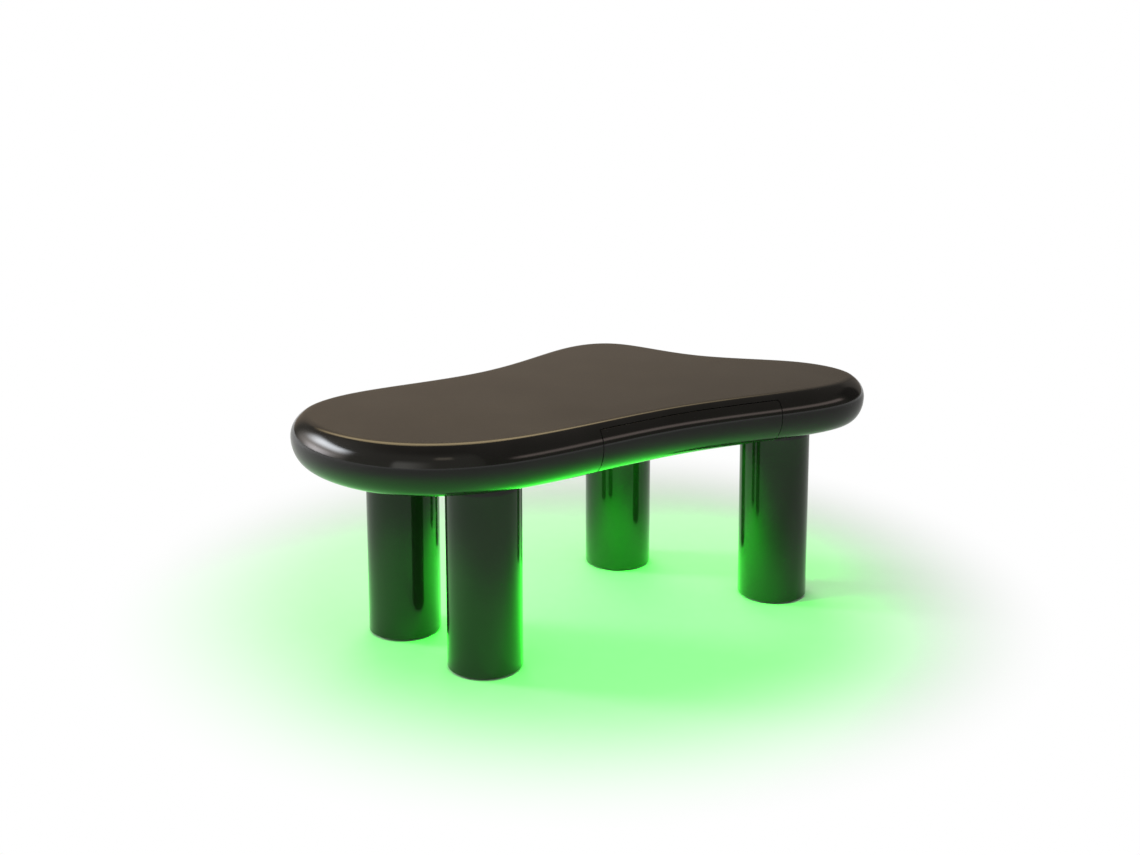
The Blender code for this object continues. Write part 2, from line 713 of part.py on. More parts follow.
def make_cage(side, wall, hand):
    """A thin strip between channel and runner, with its two rows of balls."""
    near, far = wall + hand * CAGE_ACROSS, wall + hand * (CAGE_ACROSS + CAGE_SHEET)
    front, back = SLIDE_MIDDLE_Y - CAGE_HALF_LENGTH, SLIDE_MIDDLE_Y + CAGE_HALF_LENGTH
    rise = BALL_UP + CAGE_SHEET / 2
    web = block("cage_web_" + side, (min(near, far), front, SLIDE_MIDDLE - rise),
                (max(near, far), back, SLIDE_MIDDLE + rise))
    left, right = sorted((near, wall + hand * CAGE_EDGE))
    shelf = rounded_rectangle(left, front, right, back, CAGE_CORNER, 1)
    cage = extrusion("ball_cage_" + side, [shelf], CAGE_SHEET, "steel", level(SLIDE_MIDDLE + BALL_UP))
    lower = extrusion("cage_shelf_" + side, [shelf], CAGE_SHEET, None, level(SLIDE_MIDDLE - BALL_UP))
    for added in (web, lower, make_balls(side, wall, hand)):
        cut(cage, added, "UNION")
    return cage


def make_balls(side, wall, hand):
    bm = bmesh.new()
    bmesh.ops.create_uvsphere(bm, u_segments=6, v_segments=4, radius=BALL_RADIUS)
    ball = mesh_from(bm, "ball")
    first = SLIDE_MIDDLE_Y - (BALLS_PER_ROW - 1) / 2 * BALL_PITCH
    places = [Matrix.Translation((wall + hand * BALL_ACROSS, first + index * BALL_PITCH, SLIDE_MIDDLE + up))
              for index in range(BALLS_PER_ROW) for up in (BALL_UP, -BALL_UP)]
    return cutters_at("slide_balls_" + side, ball, places)


# The light
def loop_stations(offset):
    """Points round the light's rounded loop, offset outwards, from one end to the other."""
    cx, cy = LOOP_CENTRE
    corners = rounded_rectangle(cx - LOOP_HALF_LENGTH - offset, cy - LOOP_HALF_WIDTH - offset,
                                cx + LOOP_HALF_LENGTH + offset, cy + LOOP_HALF_WIDTH + offset,
                                LOOP_CORNER + offset, LOOP_ARC_STEPS)
    half_way = 2 * (LOOP_ARC_STEPS + 1)
    back = LOOP_BACK + offset
    return [(LOOP_END_LEFT, back), *corners[half_way:], *corners[:half_way], (LOOP_END_RIGHT, back)]


def swept_loop(name, section, finish_name):
    """Sweep a closed (across, height) section round the loop."""
    tracks = [[(x, y, height) for x, y in loop_stations(across)] for across, height in section]
    return loft(name, list(zip(*tracks)), finish_name)


def make_light_tube():
    """A soft U-shaped body that grips the strip, closed from below by its rounded lens."""
    half, inner = TUBE_HALF_WIDTH, TUBE_HALF_WIDTH - TUBE_WALL
    roof = STRIP_HIGH + FIT_GAP
    body = [(-half, TUBE_TOP), (-half, TUBE_SKIRT), (-inner, TUBE_SKIRT), (-inner, roof),
            (inner, roof), (inner, TUBE_SKIRT), (half, TUBE_SKIRT), (half, TUBE_TOP)]
    swept_loop("light_tube_body", body, "white_silicone")
    width = STRIP_HALF_WIDTH
    strip = [(-width, STRIP_HIGH), (-width, STRIP_LOW), (width, STRIP_LOW), (width, STRIP_HIGH)]
    swept_loop("led_strip", strip, "circuit_board")
    shoulder, lens_high, skirt = inner - FIT_GAP, STRIP_LOW - FIT_GAP, TUBE_SKIRT - FIT_GAP
    angles = [math.pi * step / LENS_STEPS for step in range(LENS_STEPS + 1)]
    belly = [(-half * math.cos(angle), skirt - (skirt - LENS_LOW) * math.sin(angle)) for angle in angles]
    lens = [(shoulder, lens_high), (-shoulder, lens_high), (-shoulder, skirt), *belly, (shoulder, skirt)]
    swept_loop("light_tube_lens", lens, "green_lens")


def make_end_caps():
    ends = {"left": (LOOP_END_LEFT + FIT_GAP, LOOP_END_LEFT + END_CAP_LENGTH),
            "right": (LOOP_END_RIGHT - END_CAP_LENGTH, LOOP_END_RIGHT - FIT_GAP)}
    for side, (near, far) in ends.items():
        block("light_end_cap_" + side, (near, LOOP_BACK - TUBE_HALF_WIDTH, LENS_LOW + END_CAP_LIFT),
              (far, LOOP_BACK + TUBE_HALF_WIDTH, TUBE_TOP), "white_silicone", END_CAP_EASE)


def make_clips():
    """Sheet clips that hold the tube up against the base panel."""
    cx, cy = LOOP_CENTRE
    places = {"front": (cx, cy - LOOP_HALF_WIDTH, 0.0), "back": (cx + BACK_CLIP_SHIFT, LOOP_BACK, 0.0),
              "left": (cx - LOOP_HALF_LENGTH, cy, 90.0), "right": (cx + LOOP_HALF_LENGTH, cy, 90.0)}
    inner = TUBE_HALF_WIDTH + FIT_GAP
    outer = inner + CLIP_WALL
    roof, high = TUBE_TOP + FIT_GAP, PANEL_LOW - FIT_GAP
    low = TUBE_TOP - CLIP_REACH
    section = [(-outer, low), (-inner, low), (-inner, roof), (inner, roof), (inner, low),
               (outer, low), (outer, high), (-outer, high)]
    along_x = Matrix(((0, 0, 1, 0), (1, 0, 0, 0), (0, 1, 0, 0), (0, 0, 0, 1)))
    for side, (x, y, heading) in places.items():
        turn = Matrix.Rotation(math.radians(heading), 4, "Z")
        extrusion("light_clip_" + side, [section], CLIP_LENGTH, "steel", upright(x, y) @ turn @ along_x)


# The controller
def ear_screw_places():
    return (CASE_LEFT - EAR_LENGTH / 2, CASE_RIGHT + EAR_LENGTH / 2)


def make_case():
    """An open-topped moulded box screwed up against the base panel by its two ears."""
    height, middle = CASE_HIGH - CASE_LOW, (CASE_LOW + CASE_HIGH) / 2
    outline = rounded_rectangle(CASE_LEFT, CASE_FRONT, CASE_RIGHT, CASE_BACK, CASE_CORNER)
    case = extrusion("controller_case", [outline], height, "black_plastic", level(middle))
    ears = rounded_rectangle(CASE_LEFT - EAR_LENGTH, CASE_MIDDLE_Y - EAR_HALF_WIDTH,
                             CASE_RIGHT + EAR_LENGTH, CASE_MIDDLE_Y + EAR_HALF_WIDTH, EAR_CORNER)
    holes = [circle((x, CASE_MIDDLE_Y), EAR_HOLE_RADIUS, 10) for x in ear_screw_places()]
    ear_level = level(CASE_HIGH - EAR_THICKNESS / 2)
    strap = extrusion("controller_ears", [ears] + holes, EAR_THICKNESS, None, ear_level)
    cut(case, strap, "UNION")
    hollow = rounded_rectangle(CASE_LEFT + CASE_WALL, CASE_FRONT + CASE_WALL, CASE_RIGHT - CASE_WALL,
                               CASE_BACK - CASE_WALL, CASE_CORNER - CASE_WALL)
    cut(case, extrusion("controller_hollow", [hollow], height, None, level(middle + CASE_WALL)))
    post_places = {"left": CASE_LEFT + POST_INSET, "middle": (CASE_LEFT + CASE_RIGHT) / 2,
                   "right": CASE_RIGHT - POST_INSET}
    for side, x in post_places.items():
        post = block("controller_post_" + side,
                     (x - POST_HALF_WIDTH, CASE_FRONT + POST_SUNK, CASE_LOW + POST_SUNK),
                     (x + POST_HALF_WIDTH, BOARD_BACK, BOARD_LOW - FIT_GAP))
        cut(case, post, "UNION")
    floor_drill = straight(BUTTON_RADIUS + FIT_GAP, CASE_LOW + CASE_WALL + POST_SUNK, CASE_LOW - PAST)
    button_hole = turned_mesh("button hole", floor_drill, 20)
    cut(case, cutters_at("controller_button_hole", button_hole, [upright(*BUTTON_PLACE)]))
    jack_x, jack_z = JACK_PLACE
    wall_holes = {
        "jack": (JACK_RADIUS + FIT_GAP, (jack_x, CASE_BACK, jack_z)),
        "lead": (LEAD_RADIUS + 3 * FIT_GAP, (LOOP_GAP_MIDDLE, CASE_FRONT, LEAD_HEIGHT)),
    }
    for use, (radius, place) in wall_holes.items():
        pin = sideways_pin(radius, WALL_DRILL, -WALL_DRILL)
        cut(case, cutters_at("controller_%s_hole" % use, pin, [Matrix.Translation(place)]))


def make_controller_board():
    """The circuit board with its push switch, two chips and the lead's terminal."""
    edge = CASE_WALL + BOARD_CLEARANCE
    board = block("controller_board", (CASE_LEFT + edge, CASE_FRONT + edge, BOARD_LOW),
                  (CASE_RIGHT - edge, BOARD_BACK, BOARD_LOW + BOARD_THICKNESS), "circuit_board")
    x, y = BUTTON_PLACE
    switch = block("push_switch", (x - SWITCH_HALF_WIDTH, y - SWITCH_HALF_WIDTH, BOARD_LOW - SWITCH_HEIGHT),
                   (x + SWITCH_HALF_WIDTH, y + SWITCH_HALF_WIDTH, BOARD_LOW + FITTING_SUNK))
    cut(board, switch, "UNION")
    for name, ((left, front), (width, depth, height)) in BOARD_FITTINGS.items():
        low = (left, front, BOARD_LOW + BOARD_THICKNESS - FITTING_SUNK)
        high = (left + width, front + depth, BOARD_LOW + BOARD_THICKNESS + height)
        cut(board, block(name, low, high), "UNION")


def make_button():
    """A round cap that stands proud of the case floor, kept in by its flange."""
    low = CASE_LOW - BUTTON_PROUD
    flange_low = CASE_WALL + FIT_GAP + BUTTON_PROUD
    flange_high = flange_low + BUTTON_FLANGE_THICKNESS
    flange_radius = BUTTON_RADIUS + BUTTON_FLANGE_REACH
    profile = ((0, flange_high), (flange_radius, flange_high), (flange_radius, flange_low),
               (BUTTON_RADIUS, flange_low), (BUTTON_RADIUS, BUTTON_EASE),
               (BUTTON_RADIUS - BUTTON_EASE, 0), (0, 0))
    turned("power_button", profile, "black_plastic", (*BUTTON_PLACE, low), 20)


def make_jack():
    """The power inlet in the back wall: a barrel with a pin down its middle."""
    x, z = JACK_PLACE
    profile = ((0, -JACK_PIN_SUNK), (JACK_PIN_RADIUS, -JACK_PIN_SUNK), (JACK_PIN_RADIUS, -JACK_BORE_DEPTH),
               (JACK_BORE, -JACK_BORE_DEPTH), (JACK_BORE, JACK_PROUD), (JACK_RADIUS, JACK_PROUD),
               (JACK_RADIUS, -JACK_DEPTH), (0, -JACK_DEPTH))
    facing_back = Matrix.Rotation(math.radians(-90), 4, "X")
    turned("power_jack", profile, "black_plastic", (x, CASE_BACK, z), 20, turn=facing_back)


def make_lead():
    """The short lead from the gap between the light's end caps into the case."""
    curve = bpy.data.curves.new("light_lead", "CURVE")
    curve.dimensions = "3D"
    curve.bevel_depth = LEAD_RADIUS
    curve.bevel_resolution = 2
    curve.use_fill_caps = True
    spline = curve.splines.new("POLY")
    spline.points.add(LEAD_STATIONS - 1)
    for index, point in enumerate(spline.points):
        share = index / (LEAD_STATIONS - 1)
        y = LEAD_START + share * (LEAD_END - LEAD_START)
        point.co = (LOOP_GAP_MIDDLE, y, LEAD_HEIGHT - LEAD_SAG * math.sin(math.pi * share), 1.0)
    add_object("light_lead", curve, "black_plastic")


def make_ear_screws():
    seat = CASE_HIGH - EAR_THICKNESS - FIT_GAP
    profile = screw_profile(EAR_SCREW_RADIUS, EAR_SCREW_HEAD, seat, PANEL_LOW + EAR_SCREW_REACH)
    for side, x in zip(("left", "right"), ear_screw_places()):
        turned("controller_screw_" + side, profile, "steel", (x, CASE_MIDDLE_Y, 0), SCREW_SIDES)


# The whole table
def make_axis(name, place, children):
    """An empty on a moving group's joint axis, with the group parented to it."""
    empty = bpy.data.objects.new(name, None)
    empty.location = place
    PARTS.objects.link(empty)
    bpy.context.view_layer.update()
    for child in children:
        world = child.matrix_world.copy()
        child.parent = empty
        child.matrix_parent_inverse = empty.matrix_world.inverted()
        child.matrix_world = world


def build():
    make_top()
    make_base_panel()
    for side, (x, y) in LEG_PLACES.items():
        make_leg(side, (x, y, 0))
        make_leg_block(side, (x, y, 0))
        make_leg_fixing(side, (x, y, 0))
    drawer = [make_drawer_front(), *make_front_screws(), *make_drawer_box()]
    for side, wall, hand in (("left", CHEEK_INNER_LEFT, 1), ("right", CHEEK_INNER_RIGHT, -1)):
        make_cheek(side, wall, hand)
        make_channel(side, wall, hand)
        drawer.append(make_runner(side, wall, hand))
        make_axis("cage_axis_" + side, (wall, SLIDE_MIDDLE_Y, SLIDE_MIDDLE), [make_cage(side, wall, hand)])
    make_axis("drawer_axis", (OPENING_MIDDLE, FRONT_BACK_FACE, SLIDE_MIDDLE), drawer)
    make_light_tube()
    make_end_caps()
    make_clips()
    make_case()
    make_controller_board()
    make_button()
    make_jack()
    make_lead()
    make_ear_screws()


build()
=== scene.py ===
# %% [markdown]
# # A coffee table that lights the floor beneath it
# The table is a hollow, pebble-shaped top on four round legs. A drawer without a handle is cut
# from its front rim and runs on ball slides, and a soft light tube runs in a loop under the top.
# The solids come ready made and in place, so every piece made here has something to fit.
# Lengths are in metres, Z is up, the origin is on the floor under the middle of the table, and
# the drawer opens towards -Y.

# %% Load the model and measure it
import math

import bmesh
import bpy
from mathutils import Matrix, Vector, noise


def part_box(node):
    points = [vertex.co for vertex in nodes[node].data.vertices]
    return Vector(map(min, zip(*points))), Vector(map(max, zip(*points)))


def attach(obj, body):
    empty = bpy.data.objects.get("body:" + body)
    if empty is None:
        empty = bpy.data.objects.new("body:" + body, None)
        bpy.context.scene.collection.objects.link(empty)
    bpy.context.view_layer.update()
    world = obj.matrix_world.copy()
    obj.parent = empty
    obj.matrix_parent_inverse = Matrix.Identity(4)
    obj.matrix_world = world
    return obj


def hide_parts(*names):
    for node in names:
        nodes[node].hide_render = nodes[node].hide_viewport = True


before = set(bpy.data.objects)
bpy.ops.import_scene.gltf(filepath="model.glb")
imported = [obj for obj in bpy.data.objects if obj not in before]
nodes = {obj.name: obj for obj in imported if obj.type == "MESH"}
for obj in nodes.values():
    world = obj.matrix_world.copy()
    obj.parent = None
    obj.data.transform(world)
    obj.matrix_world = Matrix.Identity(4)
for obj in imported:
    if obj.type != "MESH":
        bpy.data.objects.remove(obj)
scene = bpy.context.scene
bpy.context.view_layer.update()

# %% [markdown]
# ## The camera
# The camera stands about two and a half metres away, to the left of the middle, and looks down
# on the table a little. Its lens is a short telephoto, so the legs stay nearly upright. A small
# vertical shift does the rest of the framing, as a view camera does, so that the legs don't lean.


# %% Camera
def put(name, data):
    """Set a camera, a lamp or a mesh in the scene as an object."""
    item = bpy.data.objects.new(name, data)
    scene.collection.objects.link(item)
    return item


camera_data = bpy.data.cameras.new("camera")
camera_data.sensor_width = 36.0
camera_data.lens = 46.69
camera_data.shift_y = -0.15
camera = put("camera", camera_data)
camera.location = (-1.2796, -2.1396, 1.0316)
pitch_down, turned_right, roll = 9.32, 30.98, 0.07
camera.rotation_euler = (math.radians(90 - pitch_down), math.radians(roll), math.radians(-turned_right))
scene.camera = camera
print("camera at", [round(value, 3) for value in camera.location], "lens", camera_data.lens)

# %% [markdown]
# ## A short way to write shader nodes
# A material is a net of nodes. This small class keeps the net readable: it adds a node and fills
# its sockets, does arithmetic, mixes colours and reads patterns. A socket takes either a value
# or the output of another node, so both are written in the same way.


# %% Node helpers
class Net:
    """A tree of shader nodes, with short ways to add to it."""

    def __init__(self, tree):
        self.tree = tree

    def link(self, value, socket):
        """Link an output to a socket, or write a plain value on it."""
        if isinstance(value, bpy.types.NodeSocket):
            self.tree.links.new(value, socket)
        else:
            socket.default_value = value

    def add(self, kind, inputs=None, **settings):
        """Add a node with its settings and inputs, and give back its outputs."""
        made = self.tree.nodes.new("ShaderNode" + kind)
        for name, value in settings.items():
            setattr(made, name, value)
        for name, value in (inputs or {}).items():
            self.link(value, made.inputs[name])
        return made.outputs

    def calculate(self, operation, *values, clamp=False):
        return self.add("Math", dict(enumerate(values)), operation=operation, use_clamp=clamp)[0]

    def times(self, first, second):
        return self.calculate("MULTIPLY", first, second)

    def vector(self, operation, *values):
        return self.add("VectorMath", dict(enumerate(values)), operation=operation)

    def rescale(self, value, low, high, to_low=0.0, to_high=1.0, smooth=True):
        """Bring a value from one range to another, held at both ends."""
        ranges = {"Value": value, "From Min": low, "From Max": high, "To Min": to_low, "To Max": to_high}
        return self.add("MapRange", ranges, interpolation_type="SMOOTHSTEP" if smooth else "LINEAR")[0]

    def mix(self, share, first, second, blend="MIX"):
        """Mix two colours. The node numbers its colour sockets 6 and 7."""
        inputs = {0: share, 6: first, 7: second}
        return self.add("Mix", inputs, data_type="RGBA", blend_type=blend)[2]

    def place(self):
        """Where a point of the surface lies on its own object."""
        return self.add("TexCoord")["Object"]

    def axes(self, vector):
        return self.add("SeparateXYZ", {"Vector": vector})

    def facing(self, kind="Normal"):
        """The way the surface faces, axis by axis."""
        return self.axes(self.add("NewGeometry")[kind])

    def noise(self, vector, scale, detail=2.0, roughness=0.5):
        inputs = {"Vector": vector, "Scale": scale, "Detail": detail, "Roughness": roughness}
        return self.add("TexNoise", inputs)[0]

    def stretched(self, vector, scale):
        """Stretch a pattern by scaling the place where it is read, axis by axis."""
        return self.add("Mapping", {"Vector": vector, "Scale": scale})[0]

    def use(self, group, **inputs):
        """Place a node group with its own values, and give back its outputs."""
        labels = {name.replace("_", " "): value for name, value in inputs.items()}
        return self.add("Group", labels, node_tree=group)


print("node helpers ready")

# %% [markdown]
# ## Effects that several finishes share
# A finish is more than its colour. Sprayed lacquer has a faint ripple, moulded plastic a fine
# grain, board edges wear, and dust settles on what faces up. Each effect is built once here as a
# node group with named inputs, and each material then uses it with its own values.
#
# The first group finds edges. Blender's Bevel node gives the direction that a surface would face
# if its edges were rounded, and where that differs from the true direction, there is an edge.


# %% Start a node group
def new_group(name, build, **inputs):
    """A shader group. The function builds it from its inputs and gives back its outputs."""
    group = bpy.data.node_groups.new(name, "ShaderNodeTree")
    for label, value in inputs.items():
        kind = "NodeSocketVector" if isinstance(value, tuple) else "NodeSocketFloat"
        socket = group.interface.new_socket(label.replace("_", " "), in_out="INPUT", socket_type=kind)
        socket.default_value = value
    results = build(Net(group), group.nodes.new("NodeGroupInput").outputs)
    for label, value in results.items():
        kind = "NodeSocketVector" if value.type == "VECTOR" else "NodeSocketFloat"
        group.interface.new_socket(label, in_out="OUTPUT", socket_type=kind)
    outside = group.nodes.new("NodeGroupOutput").inputs
    for label, value in results.items():
        group.links.new(value, outside[label])
    print("group made:", name, "which gives", list(results))
    return group


# %% Group: edge wear
def find_edges(net, given):
    rounded = net.add("Bevel", {"Radius": given["Radius"]}, samples=6)[0]
    agreement = net.vector("DOT_PRODUCT", rounded, net.add("NewGeometry")["Normal"])["Value"]
    patches = net.noise(net.place(), given["Breakup"], 4.0)
    worn = net.times(net.rescale(agreement, 0.99, 0.86), net.rescale(patches, 0.42, 0.62))
    return {"Mask": worn, "Normal": rounded}


edge_wear = new_group("edge_wear", find_edges, Radius=0.0006, Breakup=60.0)

# %% [markdown]
# Dust is finest where a surface faces up and lies in specks and soft patches. Ripple is the
# slight waviness that wet lacquer keeps as it dries, far too low to see except in a reflection.
# Smudges are the broad places where a hand or a cloth has left the shine a little different.


# %% Groups: settled dust, and lacquer ripple with smudges
def settle_dust(net, given):
    here = net.place()
    specks = net.rescale(net.noise(here, 900.0, 1.0), 0.60, 0.80)
    film = net.rescale(net.noise(here, 9.0, 5.0), 0.35, 0.75)
    lying = net.calculate("ADD", net.times(specks, 0.6), net.times(film, 0.5))
    upward = net.rescale(net.facing()["Z"], 0.2, 0.95)
    return {"Mask": net.calculate("MULTIPLY", lying, net.times(given["Amount"], upward), clamp=True)}


def dry_lacquer(net, given):
    here = net.place()
    smudge = net.noise(here, given["Smudges per metre"], 5.0, 0.6)
    return {"Height": net.noise(here, given["Ripples per metre"], 1.5),
            "Smudge": net.rescale(smudge, 0.35, 0.70)}


settled_dust = new_group("settled_dust", settle_dust, Amount=0.5)
lacquer_ripple = new_group("lacquer_ripple", dry_lacquer, Ripples_per_metre=260.0, Smudges_per_metre=7.0)

# %% [markdown]
# Plywood shows long figure on its faces and thin stacked layers on its edges. The layers need to
# know how deep in the board a point lies, which each board's material passes in. Moulded parts
# carry the fine spark-etched grain of their mould, and zinc-plated sheet has drawing lines and
# cloudy crystals.


# %% Groups: wood figure, stacked layers, moulded grain and drawn sheet
def grow_figure(net, given):
    broad = net.noise(net.stretched(given["Place"], (5.0, 60.0, 60.0)), 1.0, 4.0, 0.6)
    rings = net.calculate("FRACT", net.times(broad, 9.0))
    fine = net.noise(net.stretched(given["Place"], (30.0, 1600.0, 1600.0)), 1.0, 2.0)
    return {"Figure": net.calculate("PINGPONG", rings, 0.5), "Pores": net.rescale(fine, 0.52, 0.68)}


def stack_layers(net, given):
    count = net.calculate("DIVIDE", given["Depth"], given["Layer"])
    dark = net.calculate("GREATER_THAN", net.calculate("PINGPONG", count, 1.0), 0.5)
    within = net.calculate("PINGPONG", net.calculate("ADD", count, 0.5), 0.5)
    return {"Dark layer": dark, "Glue line": net.rescale(within, 0.10, 0.02)}


def etch_grain(net, given):
    here = net.place()
    return {"Height": net.noise(here, given["Grains per metre"], 2.0),
            "Shade": net.rescale(net.noise(here, 40.0, 3.0), 0.3, 0.7)}


def draw_sheet(net, given):
    here = net.place()
    crystals = net.add("TexVoronoi", {"Vector": here, "Scale": 170.0})
    return {"Height": net.noise(net.stretched(here, given["Stretch"]), 60.0, 3.0),
            "Cloud": crystals["Distance"]}


wood_figure = new_group("wood_figure", grow_figure, Place=(0.0, 0.0, 0.0))
stacked_layers = new_group("stacked_layers", stack_layers, Depth=0.0, Layer=0.0014)
moulded_grain = new_group("moulded_grain", etch_grain, Grains_per_metre=2600.0)
drawn_sheet = new_group("drawn_sheet", draw_sheet, Stretch=(12.0, 12.0, 12.0))

# %% [markdown]
# ## What every finish is made with
# A material here is a net that ends in one Principled shader. Most finishes close in the same
# way: the colour is rubbed off a little at the edges, dust lies on top, and a low relief catches
# the light. So these steps are written once, and a value that is the same all over goes straight
# on the shader's own socket.

# %% Start a material
PALE_DUST, PLASTIC_DUST = (0.30, 0.28, 0.25, 1), (0.32, 0.30, 0.27, 1)


class Finish(Net):
    """A material with one Principled shader."""

    def __init__(self, name, **values):
        self.material = bpy.data.materials.new(name)
        self.material.use_nodes = True
        super().__init__(self.material.node_tree)
        self.set(**values)

    def set(self, **values):
        """Put values or links on the shader's own sockets."""
        for label, value in values.items():
            self.link(value, self.tree.nodes["Principled BSDF"].inputs[label.replace("_", " ")])

    def coat(self, colour, wear, share, worn, dust=None, dust_colour=PALE_DUST):
        """Rub the colour off at the edges, let dust settle on it, and give it to the shader."""
        colour = self.mix(self.times(wear["Mask"], share), colour, worn)
        if dust:
            colour = self.mix(dust, colour, dust_colour)
        self.set(Base_Color=colour)

    def roughen(self, height, distance, strength=1.0, normal=None):
        """Feed a height through a Bump node to the shader."""
        inputs = {"Height": height, "Distance": distance, "Strength": strength}
        if normal:
            inputs["Normal"] = normal
        self.set(Normal=self.add("Bump", inputs)[0])

    def show(self, surface):
        """Let another shader take the place of the Principled one."""
        self.link(surface, self.tree.nodes["Material Output"].inputs["Surface"])


print("finish helpers ready, dust colours", PALE_DUST[:3], "and", PLASTIC_DUST[:3])

# %% [markdown]
# ## Black lacquer
# The top, the drawer front and the legs are fibreboard and turned wood under the same sprayed
# lacquer, nearly black with a trace of warmth. Its own colour gives almost nothing back, so what
# shows is the surroundings in its shine. The rim and the legs keep the gloss of the spray gun,
# while the flat top, which is used and wiped, is rubbed down to a satin. One material does both,
# because it can tell the flat top by the way that the surface faces. Smudges and a little dust
# vary the roughness, and edges are rounded and rubbed a shade lighter.


# %% Material: black lacquer
def make_lacquer():
    net = Finish("black_lacquer", IOR=1.44)
    wear = net.use(edge_wear, Radius=0.0005, Breakup=35.0)
    dust = net.use(settled_dust, Amount=0.05)["Mask"]
    ripple = net.use(lacquer_ripple)
    warm_black = net.mix(ripple["Smudge"], (0.0095, 0.0088, 0.0078, 1), (0.0120, 0.0109, 0.0096, 1))
    net.coat(warm_black, wear, 0.25, (0.05, 0.046, 0.04, 1), dust)
    gloss = net.rescale(ripple["Smudge"], 0.0, 1.0, 0.09, 0.12, smooth=False)
    satin = net.rescale(ripple["Smudge"], 0.0, 1.0, 0.205, 0.235, smooth=False)
    on_flat_top = net.rescale(net.facing()["Z"], 0.985, 0.9995)
    shine = net.add("Mix", {0: on_flat_top, 2: gloss, 3: satin})[0]
    net.set(Roughness=net.calculate("ADD", shine, net.times(dust, 0.5)))
    net.roughen(ripple["Height"], 0.000012, normal=wear["Normal"])
    return net.material


black_lacquer = make_lacquer()
print("finish made:", black_lacquer.name)

# %% [markdown]
# ## Board, wood and felt
# The base panel is fibreboard under one thin coat of matt black, so the fibres stand up a little.
# The drawer box and the cheeks are sealed birch plywood. Felt is pressed wool, whose loose fibres
# catch light at a flat angle, and the shader's sheen does that.


# %% Materials: painted board and felt
def make_painted_board():
    net = Finish("painted_board")
    grain = net.use(moulded_grain, Grains_per_metre=1400.0)
    wear = net.use(edge_wear, Radius=0.0004, Breakup=80.0)
    dust = net.use(settled_dust, Amount=0.3)["Mask"]
    black = net.mix(grain["Shade"], (0.012, 0.0115, 0.011, 1), (0.020, 0.019, 0.018, 1))
    net.coat(black, wear, 0.5, (0.16, 0.12, 0.08, 1), dust)
    net.set(Roughness=net.rescale(grain["Height"], 0.3, 0.7, 0.50, 0.66))
    net.roughen(grain["Height"], 0.00005, 0.6, wear["Normal"])
    return net.material


def make_felt():
    net = Finish("wool_felt", Roughness=0.95, Sheen_Weight=0.4, Sheen_Roughness=0.5)
    here = net.place()
    tufts = net.noise(here, 1500.0, 5.0, 0.7)
    matted = net.noise(net.stretched(here, (1.0, 1.0, 0.4)), 180.0, 4.0)
    net.set(Base_Color=net.mix(tufts, (0.012, 0.012, 0.012, 1), (0.055, 0.054, 0.052, 1)))
    net.roughen(net.calculate("ADD", tufts, matted), 0.0004, 0.8)
    return net.material


painted_board, wool_felt = make_painted_board(), make_felt()
print("finishes made:", painted_board.name, wool_felt.name)

# %% [markdown]
# Each plywood board has its grain along its longest side and its layers through its thinnest, so
# one function makes a material for each way a board can lie. It turns the place it reads, so that
# the grain always runs along the group's own X.


# %% Material: birch plywood, for boards that lie different ways
def make_plywood(name, grain_axis, thin_axis, thin_start):
    """Ply whose grain runs along one axis, and whose layers stack along another."""
    net = Finish(name, IOR=1.45)
    here = net.axes(net.place())
    third = next(axis for axis in "XYZ" if axis not in (grain_axis, thin_axis))
    order = {"X": here[grain_axis], "Y": here[third], "Z": here[thin_axis]}
    figure = net.use(wood_figure, Place=net.add("CombineXYZ", order)[0])
    layers = net.use(stacked_layers, Depth=net.calculate("SUBTRACT", here[thin_axis], thin_start))
    wear = net.use(edge_wear, Radius=0.0005, Breakup=50.0)
    face = net.mix(figure["Figure"], (0.60, 0.43, 0.26, 1), (0.47, 0.31, 0.17, 1))
    face = net.mix(net.times(figure["Pores"], 0.35), face, (0.28, 0.17, 0.09, 1))
    edge = net.mix(layers["Dark layer"], (0.55, 0.38, 0.21, 1), (0.30, 0.18, 0.09, 1))
    edge = net.mix(layers["Glue line"], edge, (0.14, 0.08, 0.04, 1))
    flatness = net.calculate("ABSOLUTE", net.facing("True Normal")[thin_axis])
    colour = net.mix(net.calculate("LESS_THAN", flatness, 0.6), face, edge)
    net.coat(colour, wear, 0.3, (0.66, 0.52, 0.36, 1))
    net.set(Roughness=net.rescale(figure["Pores"], 0.0, 1.0, 0.42, 0.6))
    net.roughen(figure["Pores"], 0.00006, 0.5, wear["Normal"])
    return net.material


ply_side = make_plywood("birch_ply_side", "Y", "X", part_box("drawer_side_left")[0].x)
ply_across = make_plywood("birch_ply_across", "X", "Y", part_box("drawer_back")[0].y)
ply_flat = make_plywood("birch_ply_flat", "Y", "Z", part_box("drawer_bottom")[0].z)
print("finishes made:", ply_side.name, ply_across.name, ply_flat.name)

# %% [markdown]
# ## Metals
# The slides and clips are folded from zinc-plated strip with faint drawing lines, the balls are
# polished bearing steel, the screws carry a darker passivated zinc, and the inlet's pin is
# nickelled. All are fully metallic, so their colour is the colour of their reflection.


# %% Materials: zinc sheet, ball steel, screw zinc and nickel
def make_metal(name, light, dark, roughness, stretch, depth):
    net = Finish(name, Metallic=1.0)
    sheet = net.use(drawn_sheet, Stretch=stretch)
    wear = net.use(edge_wear, Radius=0.0003, Breakup=120.0)
    net.coat(net.mix(net.rescale(sheet["Cloud"], 0.1, 0.7), light, dark), wear, 0.4, light)
    net.set(Roughness=net.rescale(sheet["Height"], 0.3, 0.7, roughness * 0.8, roughness * 1.25))
    net.roughen(sheet["Height"], depth, 0.6, wear["Normal"])
    return net.material


